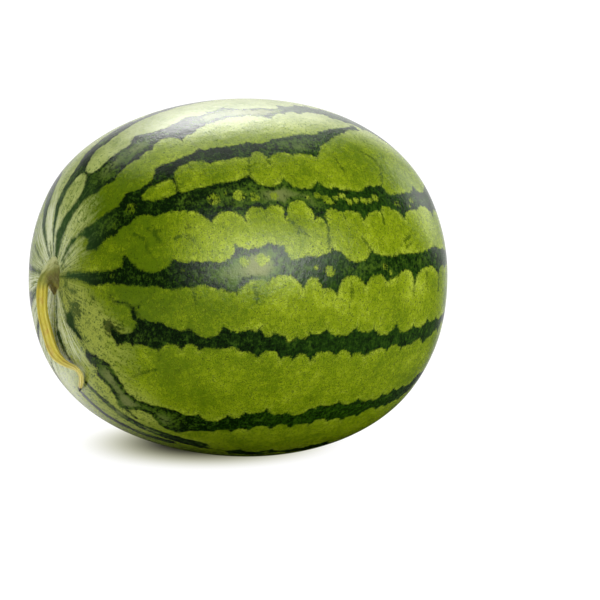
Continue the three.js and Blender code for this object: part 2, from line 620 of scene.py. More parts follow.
CREST = Stripe(
    upper=(
        (12, -37), (40, -42), (58, -37), (75, -38), (110, -39), (180, -36), (250, -38), (330, -33),
        (380, -32), (408, -33),
    ),
    lower=(
        (12, -33), (40, -32), (57, -24), (74, -23), (110, -28), (180, -27), (250, -28), (330, -24),
        (380, -27), (408, -28),
    ),
)
SADDLE = Stripe(
    upper=(
        (12, -12), (30, -13), (41.5, -11.5), (48.5, -12), (59.5, -7.5, 0.5), (70.5, -5.5, 0.8),
        (86, -7.5, 0.6), (115, -8), (140, -8), (160, -10), (200, -9), (230, -9), (270, -7),
        (310, -4), (350, -2), (408, -1),
    ),
    lower=(
        (12, -8), (30, -6), (41.5, -3.5), (54, -1.5), (64, 2), (69, 4.5), (71, 7), (74.5, 7),
        (78.5, 4), (88.5, 0.5, 1), (95, 2, 0.5), (113, 1, 0.6), (124.5, -0.5, 0.8), (145, -1, 1),
        (165, -1, 1.5), (205, -1), (235, 0), (270, 2), (310, 5), (350, 6), (408, 5),
    ),
)
SHOULDER = Stripe(
    upper=(
        (12, -2), (21.5, -1), (27, -0.5), (36, 6.5), (47, 14.5), (57, 18.5, 1), (68.5, 13.5),
        (71, 11), (73, 11.5), (77, 15, 0.6), (93, 15, 0.4), (105, 15), (109.5, 11.5), (114, 11.5),
        (119, 14, 0.4), (131, 15.5, 0.6), (150, 12), (175, 10), (200, 14), (215, 12), (240, 8),
        (270, 8), (300, 12), (330, 18), (360, 22), (408, 24),
    ),
    lower=(
        (12, 14), (19.5, 18), (34, 22), (48.5, 23.5), (55, 24), (69.5, 29.5, 0.4), (81.5, 31),
        (84.5, 30, 1.8), (103, 27.5, 1), (113.5, 25.5, 7.6), (133, 27.5, 2), (142, 25, 1.5),
        (160, 21, 1), (180, 20, 2), (199, 23.5, 2.5), (212, 19.5), (240, 17), (260, 20), (290, 23),
        (320, 25), (350, 27), (408, 27),
    ),
)
RIDGE = Stripe(
    upper=(
        (84, 44), (86, 41.5, 2), (104, 41), (108.5, 36.5), (113, 35.5, 0.6), (122, 35.5, 1.4),
        (140, 33.5, 1.2), (147, 34.5, 0.6), (159, 35, 1.2), (172, 34.5, 3.6), (188.5, 34, 1.2),
        (206.5, 32.5, 0.4), (214.5, 32, 0.4), (222, 32.5, 0.8), (226, 30.5, 0.3),
        (240.5, 27.5, 0.3), (257, 24), (266, 20),
    ),
    lower=(
        (94, 47), (95, 46.5, 1.2), (104, 44.5, 0.8), (117, 44, 7.5), (142, 41.5, 1.4),
        (153, 41.5, 1.2), (168, 42, 5.5), (181, 42.5, 3.2), (198, 42, 1.2), (209, 42, 0.8),
        (216, 43.5, 2.4), (230.5, 35.5, 1.2), (248.5, 29.5, 0.6), (257, 26), (268, 24),
    ),
)
BELT = Stripe(
    upper=(
        (14, 39), (28.5, 39), (34, 37.5), (40, 42), (48.5, 43.5), (56, 45.5, 0.4), (78, 46),
        (86, 41.5), (93, 44), (95, 48.5, 1.4), (104, 50.5, 0.8), (117.5, 50, 0.5), (128, 50, 0.5),
        (144, 49.5, 0.9), (157, 49.5), (164.5, 48.5, 7.2), (186, 50.5, 6.8), (209, 52, 2.4),
        (220.5, 54, 1.2), (230.5, 54.5, 1.8), (243, 54), (247.5, 52.5, 0.6), (259.5, 51.5, 4),
        (270, 54, 0.8), (290.5, 50.5), (293, 48), (296, 49.5, 0.8), (304, 48.5, 0.5), (314, 42.5),
        (322, 38), (340, 36), (380, 35), (408, 35),
    ),
    lower=(
        (14, 43), (29, 45.5), (40.5, 46), (44.5, 47.5), (48.5, 52.5), (49.5, 56.5), (45, 60.5),
        (48.5, 62.5), (54, 65), (57.5, 64.5, 2.2), (72, 60.5, 1.6), (82, 58, 3.6), (99, 58, 1.4),
        (119.5, 58.5, 2.8), (132.5, 65, 8.4), (155, 65, 5.8), (169, 61, 6.2), (181, 64.5, 12),
        (201, 64.5, 2.8), (209, 67.5, 7.7), (222, 63, 4.8), (237, 66, 3.5), (253, 62, 3.6),
        (262, 60.5, 1.6), (273, 63.5, 3), (288.5, 59, 4.6), (309.5, 57.5), (311, 60.5),
        (312.5, 57, 1.5), (320, 53, 1), (345, 50), (380, 49), (408, 49),
    ),
)
WAIST = Stripe(
    upper=(
        (8, 77), (17, 74.5), (21.5, 74), (34, 76), (48.5, 78.5), (56, 79, 0.5), (73, 77.5),
        (74.5, 74.5), (76, 70), (78.5, 73.5, 8.8), (107, 76, 1.2), (120, 77, 0.6), (129, 77, 5.8),
        (146, 72, 3.8), (168, 71.5, 1.2), (177.5, 73, 6.2), (192.5, 76, 2.9), (211, 74, 0.8),
        (217.5, 75, 7.3), (240, 74.5, 2.7), (264.5, 75, 0.9), (284, 74, 0.8), (299.5, 71.5),
        (304, 71, 0.6), (319.5, 70.5, 0.5), (345, 69), (380, 69), (408, 69),
    ),
    lower=(
        (8, 83), (17, 85.5), (37, 86.5), (49.5, 89, 1), (77, 87, 0.8), (109, 88, 1),
        (118.5, 87, 1.8), (133, 87, 1), (147, 89, 5), (166, 84.5, 6.6), (189.5, 87, 7.9),
        (203.5, 86.5, 1.4), (213.5, 88, 9), (235, 85.5, 5.8), (252.5, 84.5, 1.4), (261, 83, 6.8),
        (277.5, 85, 8.6), (308.5, 82.5, 5), (322, 79.5), (345, 77), (380, 75), (408, 73),
    ),
)
HIP = Stripe(
    upper=(
        (84, 101), (90.5, 101.5), (97, 101.5), (103, 101), (140, 99), (180, 101), (230, 98),
        (280, 99), (330, 97), (370, 96), (408, 96),
    ),
    lower=(
        (68.5, 109.5), (70.5, 114), (77, 119), (80.5, 116, 0.6), (86, 115, 0.8), (95, 113, 0.4),
        (103, 113.5), (140, 108), (180, 109), (230, 108), (280, 107), (330, 106), (370, 101),
        (408, 100),
    ),
)
FLANK = Stripe(
    upper=(
        (58, 135), (62, 134.5), (68, 132), (77, 131), (80, 132.5), (85, 135), (91, 138),
        (97, 140.5), (103.5, 141), (114, 139.5), (121.5, 138), (132, 138), (170, 131), (220, 126),
        (280, 124), (330, 122), (370, 121), (408, 121),
    ),
    lower=(
        (58, 139), (60, 141), (70, 142), (75, 144.5), (83, 144.5), (90, 147.5), (97.5, 151),
        (103, 151), (108.5, 146.5), (117, 146), (125.5, 150), (131.5, 151.5), (141, 151),
        (170, 142), (220, 136), (280, 134), (330, 131), (370, 126), (408, 125),
    ),
)

BLOTCH = Stripe(
    upper=(
        (28.5, 136), (30, 130), (31, 123.5), (34, 121), (38.5, 126), (41.5, 130.5), (48.5, 130.5),
        (54, 133),
    ),
    lower=(
        (28.5, 136.5), (29.5, 140.5), (34.5, 142), (42, 137.5), (54, 133.5),
    ),
)

# Dark strokes on the light rind.
TONGUES = (
    Tongue(((72.5, 6), (72, 12)), 0.9, 0.9), Tongue(((117, 43), (117, 51)), 0.8, 0.8),
    Tongue(((69.5, 96), (77, 95.5), (81.5, 97), (88.5, 95)), 1.0, 0.5),
    Tongue(((81.5, 97), (84, 101.5)), 1.2, 1.6), Tongue(((17, 99), (29, 100.5)), 0.8, 1.2),
    Tongue(((20, 113), (25.5, 116), (29.5, 118.5)), 0.3, 0.9),
    Tongue(((24, 101.5), (33, 99)), 0.8, 1.1),
    Tongue(((12.5, 131.5), (22, 135), (28.5, 136)), 0.5, 0.9),
    Tongue(((15.5, 86), (17.5, 94.5), (19.5, 100)), 0.8, 0.7),
    Tongue(((12, 160), (25, 165), (35, 167), (46, 163), (57, 159)), 0.8, 1.5),
    Tongue(((36, 166.5), (46, 163)), 2.6, 2.4),
    Tongue(((72, 157.5), (90, 156.5), (105, 158), (122, 158), (140, 157), (160, 156.5)), 1.6, 6),
    Tongue(((76, 170), (98, 169), (118, 166.5), (145, 162.5)), 2, 3.8),
    Tongue(((96.5, 151), (103, 151.5), (112.5, 153.5)), 2.0, 0.9),
    Tongue(((20, -67), (43, -66)), 0.5, 0.9), Tongue(((20, -87), (38, -87)), 0.5, 0.8),
    Tongue(((28, -112), (40, -112), (52, -110)), 0.6, 2.4),
    Tongue(((16, -23), (23, -23)), 0.4, 0.7), Tongue(((14, 10), (25, 11)), 0.4, 0.8),
    Tongue(((12, 48), (27, 49)), 0.4, 0.7), Tongue(((10, 60), (22, 63)), 0.3, 0.5),
)

# Fine dark lines between the stripes and into them.
VEINS = (
    ((137, 27), (138, 30), (140, 34)), ((93.5, 62.5), (97.5, 64), (101.5, 63.5)),
    ((97, 61.5), (97.5, 65), (99, 68)), ((183, 65), (185.5, 66), (189, 68), (195.5, 70.5)),
    ((190, 66.5), (189, 68), (187.5, 69.5)), ((233, 70.5), (240, 74.5)),
    ((266, 72.5), (270, 70.5), (275, 69)), ((271, 73), (276, 71.5)), ((253, 62.5), (253, 65.5)),
    ((208, 60.5), (209.5, 68), (208.5, 74)),
    ((254, 38.5), (262, 40.5), (264, 44), (262.5, 47.5), (260, 51.5)),
    ((164.5, 48.5), (166, 45), (168, 42)), ((277, 83.5), (277.5, 89)), ((308, 82), (308, 88)),
    ((291, 81), (292, 86)), ((224, 84.5), (225, 90)), ((158, 86), (160, 91)),
    ((119, 87), (121, 92)), ((84, 63), (90, 66), (92, 72)), ((109, 68), (116, 67), (121, 70)),
    ((128, 38), (130, 42)), ((178, 40), (181, 46)), ((228, 42), (232, 48)),
    ((104, 122), (96, 127), (92, 133)),
)

# Where the light rind bites into the stripes.
BITE = Light(77, 104.5, 8.6)

# Small light patches with a firm border, inside the stripes.
ISLANDS = lights(
    (85.5, 50.5, 4.4, 0.4), (72, 55.5, 2.5, 0.25), (137.5, 55.5, 4.2, 0.55), (146, 54, 1.6, 0.45),
    (154, 55.5, 4, 0.62), (163.5, 56.5, 3.2, 0.62), (176.5, 56.5, 2.8, 0.65), (149, 58.5, 1.2, 0.5),
    (199, 57.5, 1.6, 0.6), (206, 57, 2.3, 0.7), (212, 58.5, 2.9, 0.75), (216, 59.5, 2, 0.75),
    (219, 58, 1.6, 0.7), (224, 57, 2.2, 0.8), (229, 59, 2.3, 0.8), (234, 58.5, 2, 0.8),
    (240, 58.5, 2.2, 0.8), (245, 58, 2, 0.8), (250.5, 57, 2.3, 0.8), (269, 58, 2.4, 0.6),
    (285, 55, 2.2, 0.62), (281, 57.5, 1.6, 0.62), (162, 77.5, 3.6, 0.95), (151, 78, 3.2, 0.75),
    (162, 86, 3, 0.9), (167, 77, 1.8, 0.6), (199, 80, 1.8, 0.6), (208, 81, 3.4, 0.85),
    (69.5, 142, 3.5, 0.6), (250, 79.5, 2, 0.6), (255, 81.5, 1.5, 0.55), (112, 80.5, 2.6, 0.2),
    (66, 82, 2.2, 0.25),
)

# Soft patches inside the stripes that turn them mossy. Where they are strong they pale the stripe to a
# grey-green. Round clock 16 to 18 from reach 160 to 208, and round clock 80 from reach 138 to 160, that
# is painted sheen, which washes the stripes out under the highlights.
HAZES_AND_PAINTED_SHEEN = lights(
    (63, 53, 6, 0.7), (303, 74, 6, 0.6), (222, 37.5, 9, 0.9), (208, 38.5, 8, 0.8), (92, 20, 7, 0.6),
    (103, 20.5, 7, 0.6), (120, 54, 7, 0.7), (235, 79, 9, 0.5), (248, 80, 9, 0.4), (285, 78, 9, 0.7),
    (300, 54, 9, 0.5), (160, 80, 15, 1.9), (138, 82, 10, 1.0), (225, 80, 12, 0.6),
    (262, 79, 12, 0.5), (198, 60, 12, 1.2), (186, 81, 9, 0.6), (120, 83, 8, 0.4),
    (160, 16, 13, 1.6), (186, 17, 14, 2.2), (208, 18, 11, 1.6), (196, 38, 12, 0.8),
    (178, 37, 12, 0.5), (80, 22, 14, 1.2), (50, -10, 10, 1.0), (70, -10, 10, 1.2),
    (112, 20, 12, 1.1), (60, 4, 9, 0.9), (100, -3, 9, 1.0), (70, 53, 8, 0.5), (150, 55, 14, 1.0),
    (178, 56, 15, 1.5), (92, 80, 9, 0.3), (86, 112, 9, 0.6), (80, 138, 14, 1.5),
    (100, 146, 13, 1.4), (125, 146, 14, 1.3), (80, 158, 10, 1.3), (100, 160, 12, 2.0),
    (125, 162, 13, 2.0),
)

# Soft dark patches on the light rind.
SMUDGES = lights(
    (34, 115, 4.6, 0.62), (38.5, 111.5, 4, 0.62), (39.5, 119, 4, 0.5), (52, 98.5, 3.2, 0.42),
    (65, 92.5, 2.6, 0.42), (60, 105.5, 2.2, 0.42), (66.5, 109.5, 3.2, 0.5), (47, 112, 2.2, 0.35),
    (58, 118, 2.5, 0.35), (20, 92, 2.5, 0.5), (84, 99, 3, 0.5), (118, 64, 3.5, 0.45),
    (67, 96.5, 2.5, 0.45), (69, 112, 5.5, 0.55), (75.5, 108, 4, 0.5),
)

# Broad patches where the light rind is paler, or darker where the share is negative. The dark ones near
# the stem end on the front, at reach 80 to 92, are painted shade on the side away from the light, over
# the rind's own deeper green. The pale ones round clock 66 to 88, from reach 134 to 212, are painted
# sheen.
TONES_AND_PAINTED_LIGHT = lights(
    (80, 34, 30, -0.9), (84, 70, 30, -0.8), (92, 94, 28, -0.9), (245, 41, 26, -0.25),
    (150, 45, 26, -0.25), (240, 66, 26, 0.4), (300, 60, 22, 0.5), (134, 70, 24, 0.9),
    (172, 66, 26, 0.25), (92, 128, 20, 0.3), (106, 122, 24, -0.5), (120, 25, 26, 0.3),
    (150, 94, 30, -0.3), (180, 88, 18, 0.9), (212, 88, 15, 0.9), (208, 73, 12, 0.6),
    (280, 86, 18, 0.8), (264, 72, 14, 0.5), (264, 50, 16, -0.5), (254, 64, 10, -0.4),
    (108, 138, 14, 0.8),
)


@dataclass(frozen=True)
class BackStripe:
    """A stripe on the far side, given by its middle, its width and a seed for its own waver."""

    clock: float
    half_width: float
    seed: int
    start: float = 14.0
    opening: tuple[float, ...] = (26, 40, 54)
    drawn_to: float = 345.0
    closing: tuple[float, ...] = (372, 392, 408)
    spacing: Pair = (16, 30)
    swells_from: float = 30.0
    swells_over: float = 75.0
    shrinks_to: float = 398.0
    shrinks_over: float = 60.0
    tip: float = 0.9
    uneven: Pair = (0.75, 1.25)
    waver: float = 1.5
    waver_kept: float = 0.7

    def scattered(self, count: int, salt: int, first: float, last: float, aside: float,
                  radius: Pair, share: Pair) -> list[Light]:
        """Patches drawn along the stripe.

        Args:
            count: How many.
            salt: What keeps this draw apart from the stripe's others.
            first: How far past the stripe's start the first may lie, in mm.
            last: Reach at which the last may lie.
            aside: How far from the stripe's middle they stray, in degrees.
            radius: The least and the largest radius.
            share: The least and the largest share.

        Returns:
            The patches.
        """
        draw = np.random.default_rng(self.seed + salt)
        return [
            Light(draw.uniform(self.start + first, last), self.clock + draw.uniform(-aside, aside),
                  draw.uniform(*radius), draw.uniform(*share))
            for _ in range(count)
        ]

    def islands(self) -> list[Light]:
        """Small pale patches that float in the stripe."""
        return self.scattered(6, 100, 60, 350, 3, (1.5, 3.2), (0.45, 0.9))

    def hazes(self) -> list[Light]:
        """Mossy patches within the stripe."""
        return self.scattered(7, 200, 30, 370, 2, (8, 15), (0.4, 1.1))

    def edges(self, shape: RindShape) -> Stripe:
        """The stripe's two edges before they are scalloped, worked out with the fruit's radius.

        Args:
            shape: The fruit, for its radius along the rind.

        Returns:
            The stripe.
        """
        draw = np.random.default_rng(self.seed)
        outline = shape.outline()
        stations = [self.start, *(station for station in self.opening if station > self.start)]
        while stations[-1] < self.drawn_to:
            stations.append(stations[-1] + draw.uniform(*self.spacing))
        stations += self.closing
        upper: list[Cusp] = []
        lower: list[Cusp] = []
        waver = 0.0
        for station in stations:
            swell = (station - max(self.start, self.swells_from)) / self.swells_over
            swell = min(max(swell, 0), 1)
            swell *= min(max((self.shrinks_to - station) / self.shrinks_over, 0), 1)
            waver = self.waver_kept * waver + draw.normal(0, self.waver)
            radius = float(np.interp(station, *outline))
            for edge, side in ((upper, -1), (lower, 1)):
                half = self.tip + (self.half_width - self.tip) * swell * draw.uniform(*self.uneven)
                clock = self.clock + waver * swell + side * math.degrees(half / radius)
                edge.append((float(station), clock))
        return Stripe(upper, lower)


BACK_STRIPES = (
    BackStripe(-64, 10.5, 11, 50),
    BackStripe(-89, 8.0, 12),
    BackStripe(-115, 11.5, 13),
    BackStripe(-141, 8.5, 14),
    BackStripe(-164, 10.5, 15, 60),
    BackStripe(179, 7.5, 16, 118.0),
    BackStripe(156.5, 8.5, 17, 118.0),
)


class Lobes(Enum):
    """Which lobes of the edges a field turns outwards, by the name of the field."""

    EVEN = "paint_even"
    ODD = "paint_odd"


@dataclass
class Marking:
    """Marks points of the rind, given by reach in mm and clock angle in degrees."""

    shape: RindShape
    reach: np.ndarray
    clock: np.ndarray
    scallop_from: float = 62.0
    scallop_to: float = 372.0
    long_stretch: float = 15.0
    lobe_length: Pair = (8.0, 19.0)
    lobe_share: Pair = (0.16, 0.42)
    lobe_jitter: float = 1.3
    last_lobe: float = 1.5
    no_lobe: float = 0.5
    turned_above: float = 1.2
    arc_power: float = 2.6
    arc_step: float = 1.5
    reach_over: float = 14.0
    tongue_over: float = 8.0
    tongue_turn: float = 40.0
    island_edge: float = 2.4
    least_radius: float = 2.0
    batch: int = 4000
    seed: int = 5

    def __post_init__(self) -> None:
        """Measures the outline once."""
        self.outline = self.shape.outline()
        self.radii = self.radius(self.reach)
        self.draw = np.random.default_rng(self.seed)

    def radius(self, reach: np.ndarray | float) -> np.ndarray:
        """Radius of the fruit at a reach along the rind, never nought."""
        return np.interp(reach, *self.outline).clip(self.least_radius)

    def scalloped(self, plain: Sequence[Cusp]) -> list[Cusp]:
        """Breaks the long plain stretches of an edge into lobes.

        Args:
            plain: The edge's cusps, some of them without a swelling.

        Returns:
            The cusps with the drawn ones between them, each with its swelling.
        """
        edge = [(*cusp, 0.0)[:3] for cusp in plain]
        made: list[Cusp] = []
        for here, ahead in zip(edge, edge[1:]):
            length = ahead[0] - here[0]
            inside = here[0] >= self.scallop_from and ahead[0] <= self.scallop_to
            if here[2] or length < self.long_stretch or not inside:
                made.append(here)
                continue
            reach, clock, _ = here
            while reach < ahead[0] - self.no_lobe:
                step_ahead = self.draw.uniform(*self.lobe_length)
                if reach + self.last_lobe * step_ahead > ahead[0]:
                    step_ahead = ahead[0] - reach
                made.append((reach, clock, step_ahead * self.draw.uniform(*self.lobe_share)))
                reach += step_ahead
                clock = here[1] + (ahead[1] - here[1]) * ((reach - here[0]) / length)
                clock += self.draw.uniform(-1, 1) * self.lobe_jitter
        return [*made, edge[-1]]

    def line(self, edge: Sequence[Cusp], side: int, turned: Lobes) -> np.ndarray:
        """An edge as a fine line of points.

        Args:
            edge: Its cusps.
            side: 1 where the stripe lies at larger clock angles, -1 where at smaller.
            turned: Which lobes are turned outwards.

        Returns:
            Rows of reach and clock.
        """
        points: list[Spot] = []
        lobes = 0
        for (reach, clock, bulge), ahead in zip(edge, edge[1:]):
            radius = float(self.radius((reach + ahead[0]) / 2))
            forward = ahead[0] - reach
            aside = math.radians(ahead[1] - clock) * radius
            chord = math.hypot(forward, aside) or 1.0
            if bulge > self.turned_above:
                lobes += 1
                if (lobes % 2 == 0) == (turned is Lobes.EVEN):
                    bulge = -bulge
            count = max(1, round(chord / self.arc_step)) if bulge else 1
            for share in np.arange(count) / count:
                swell = side * bulge * (1 - abs(2 * share - 1) ** self.arc_power)
                shifted = aside * share + forward / chord * swell
                at = reach + forward * share - aside / chord * swell
                points.append((at, clock + math.degrees(shifted / radius)))
        points.append(edge[-1][:2])
        return np.array(points)

    def segments(
        self, some: np.ndarray, clock: np.ndarray, line: np.ndarray
    ) -> tuple[np.ndarray, np.ndarray]:
        """How far some points lie from each segment of a line.

        Args:
            some: Which points.
            clock: Clock angles of all points, unrolled round the line.
            line: Rows of reach and clock.

        Returns:
            The distance in mm, and the nearest place as a share of the segment, with a row for
            each point and a column for each segment.
        """
        scale = np.radians(1) * self.radii[some, None]
        ax = line[:-1, 0] - self.reach[some, None]
        ay = (line[:-1, 1] - clock[some, None]) * scale
        bx, by = np.diff(line, axis=0).T
        by = by * scale
        along = (-(ax * bx + ay * by) / (bx * bx + by * by + TINY)).clip(0, 1)
        return np.hypot(ax + along * bx, ay + along * by), along

    def inside(self, some: np.ndarray, clock: np.ndarray, outline: np.ndarray) -> np.ndarray:
        """Whether some points lie inside a closed outline.

        Args:
            some: Which points.
            clock: Clock angles of all points, unrolled round the outline.
            outline: Rows of reach and clock, the last as the first.

        Returns:
            Whether each of them lies inside.
        """
        x0, y0 = outline[:-1].T
        x1, y1 = outline[1:].T
        height = clock[some, None]
        crosses = (y0 > height) != (y1 > height)
        rise = np.where(y1 == y0, TINY, y1 - y0)
        at = x0 + (height - y0) * ((x1 - x0) / rise)
        return (crosses & (self.reach[some, None] < at)).sum(axis=1) % 2 == 1

    def unrolled(self, middle: float) -> np.ndarray:
        """The points' clock angles, within half a turn of a middle."""
        return (self.clock - middle + 180) % 360 - 180 + middle

    def stripe_field(self, stripe: Stripe, turned: Lobes) -> np.ndarray:
        """Signed distance to a stripe.

        Args:
            stripe: The scalloped stripe.
            turned: Which of its lobes are turned outwards.

        Returns:
            The distances in mm, positive outside it and never more than the reach over which
            they matter.
        """
        outline = np.concatenate([
            self.line(stripe.upper, 1, turned), self.line(stripe.lower, -1, turned)[::-1],
        ])
        closed = np.concatenate([outline, outline[:1]])
        clock = self.unrolled(outline[:, 1].mean())
        over = np.degrees(self.reach_over / self.radii)
        first, last = outline.min(axis=0), outline.max(axis=0)
        near = (clock > first[1] - over) & (clock < last[1] + over)
        near &= (self.reach > first[0] - self.reach_over) & (self.reach < last[0] + self.reach_over)
        found = np.full(self.reach.shape, self.reach_over)
        where = np.flatnonzero(near)
        for start in range(0, len(where), self.batch):
            some = where[start:start + self.batch]
            away = self.segments(some, clock, closed)[0].min(axis=1)
            signed = np.where(self.inside(some, clock, closed), -away, away)
            found[some] = signed.clip(-self.reach_over, self.reach_over)
        return found

    def tongue_field(self, tongue: Tongue) -> np.ndarray:
        """Signed distance to a tongue, positive outside it.

        Args:
            tongue: The tongue.

        Returns:
            The distances in mm, never more than the reach over which they matter.
        """
        path = np.array(tongue.path, float)
        middle = path[:, 1].mean()
        clock = self.unrolled(middle)
        near = (self.reach > path[:, 0].min() - self.tongue_over)
        near &= (self.reach < path[:, 0].max() + self.tongue_over)
        near &= np.abs(clock - middle) < np.ptp(path[:, 1]) / 2 + self.tongue_turn
        some = np.flatnonzero(near)
        away, along = self.segments(some, clock, path)
        pieces = len(path) - 1
        half = tongue.start + (tongue.end - tongue.start) * (np.arange(pieces) + along) / pieces
        found = np.full(self.reach.shape, self.reach_over)
        found[some] = (away - half).min(axis=1).clip(None, self.reach_over)
        return found

    def light_field(self, light: Light) -> np.ndarray:
        """Signed distance to a patch, positive inside it."""
        aside = np.radians(self.unrolled(light.clock) - light.clock) * self.radii
        return light.radius - np.hypot(self.reach - light.reach, aside)

    def island(self, light: Light) -> np.ndarray:
        """Share of a patch with a firm border."""
        return light.share * (0.5 + self.light_field(light) / self.island_edge).clip(0, 1)

    def glow(self, light: Light) -> np.ndarray:
        """Share of a patch that fades away from its middle."""
        away = (light.radius - self.light_field(light)) / light.radius
        return light.share * np.exp(-away ** 2)

    def fields(self) -> dict[str, np.ndarray]:
        """All marking fields by name.

        Returns:
            The fields: distances in mm, and shares for the patches.
        """
        drawn = [stripe.edges(self.shape) for stripe in BACK_STRIPES]
        stripes = [
            Stripe(self.scalloped(stripe.upper), self.scalloped(stripe.lower))
            for stripe in (CREST, SADDLE, SHOULDER, RIDGE, BELT, WAIST, HIP, FLANK, BLOTCH, *drawn)
        ]
        tongues = np.min([self.tongue_field(tongue) for tongue in TONGUES], axis=0)
        bite = self.light_field(BITE)
        found = {}
        for turned in Lobes:
            dark = np.min([self.stripe_field(stripe, turned) for stripe in stripes], axis=0)
            found[turned.value] = np.minimum(np.maximum(dark, bite), tongues)
        veins = [self.tongue_field(Tongue(path)) for path in VEINS]
        islands = [*ISLANDS, *(one for stripe in BACK_STRIPES for one in stripe.islands())]
        hazes = [*HAZES_AND_PAINTED_SHEEN, *(one for stripe in BACK_STRIPES for one in stripe.hazes())]
        found["paint_vein"] = np.min(veins, axis=0)
        found["paint_island"] = np.max([self.island(one) for one in islands], axis=0)
        for name, patches in (("haze", hazes), ("tone", TONES_AND_PAINTED_LIGHT), ("smudge", SMUDGES)):
            found[f"paint_{name}"] = np.sum([self.glow(one) for one in patches], axis=0)
        return found


# ---------------------------------------------------------------- finishes


class RindPaint(Paint):
    """The rind's material under construction, with the zones and textures that its colours share."""

    # Where each zone begins and where it is full, as shares of the fruit's half width.
    OVER = (0.86, 0.98)
    TOP = (0.1, 0.92)
    LOW = (0.1, -0.5)
    UNDER = (-0.6, -0.86)
    LEFT = (0.1, -0.5)
    # Each texture's size in mm, its finer octaves and its roughness. Those drawn on the rind have
    # two sizes, along it and round it.
    SPECKLE = (2.1, 3.0, 0.75)
    FINE = (1.0, 2.0, 0.6)
    CLOUDS = (5.0, 3.0, 0.65)
    DRIFT = (16.0, 3.0, 0.6)
    WAVER = (3.8, 3.0, 0.65)
    MOTTLE = (5.5, 4.0, 0.7)
    DIMPLES = (4.6, 4.0, 0.62)
    HATCH = (1.1, 4.2, 3.0, 0.7)
    CROSS_HATCH = (3.6, 1.3, 3.0, 0.65)
    STREAKS = (22.0, 3.4, 4.0, 0.7)

    def __init__(self) -> None:
        """Lays out the zones, as shares from 0 to 1, and the textures, which lie round nought."""
        super().__init__("waxy rind")
        self.rind = self.attribute("rind", "Vector")
        self.reach, rise, side = self.split(self.rind)
        self.rise = rise / HALF_WIDTH
        self.over = self.rise.ramp(*self.OVER)
        self.top = self.rise.ramp(*self.TOP)
        self.low = self.rise.ramp(*self.LOW)
        self.under = self.rise.ramp(*self.UNDER)
        self.left = (side / HALF_WIDTH).ramp(*self.LEFT)
        self.even = self.attribute(Lobes.EVEN.value)
        self.odd = self.attribute(Lobes.ODD.value)
        self.depth = self.even.most(self.odd)
        self.spot = self.place()
        self.speckle = self.grain(self.spot, *self.SPECKLE)
        self.fine = self.grain(self.spot, *self.FINE)
        self.clouds = self.grain(self.spot, *self.CLOUDS)
        self.drift = self.grain(self.spot, *self.DRIFT)
        self.hatch = self.woven(*self.HATCH)
        self.streaks = self.woven(*self.STREAKS)

    def woven(self, along: float, around: float, detail: float, rough: float) -> Wire:
        """Grain on the rind itself, with features of a size in mm along it and another round it."""
        drawn = self.vector("MULTIPLY", self.rind, (1 / along, 1 / around, 1 / around))
        return self.grain(drawn, 1.0, detail, rough)


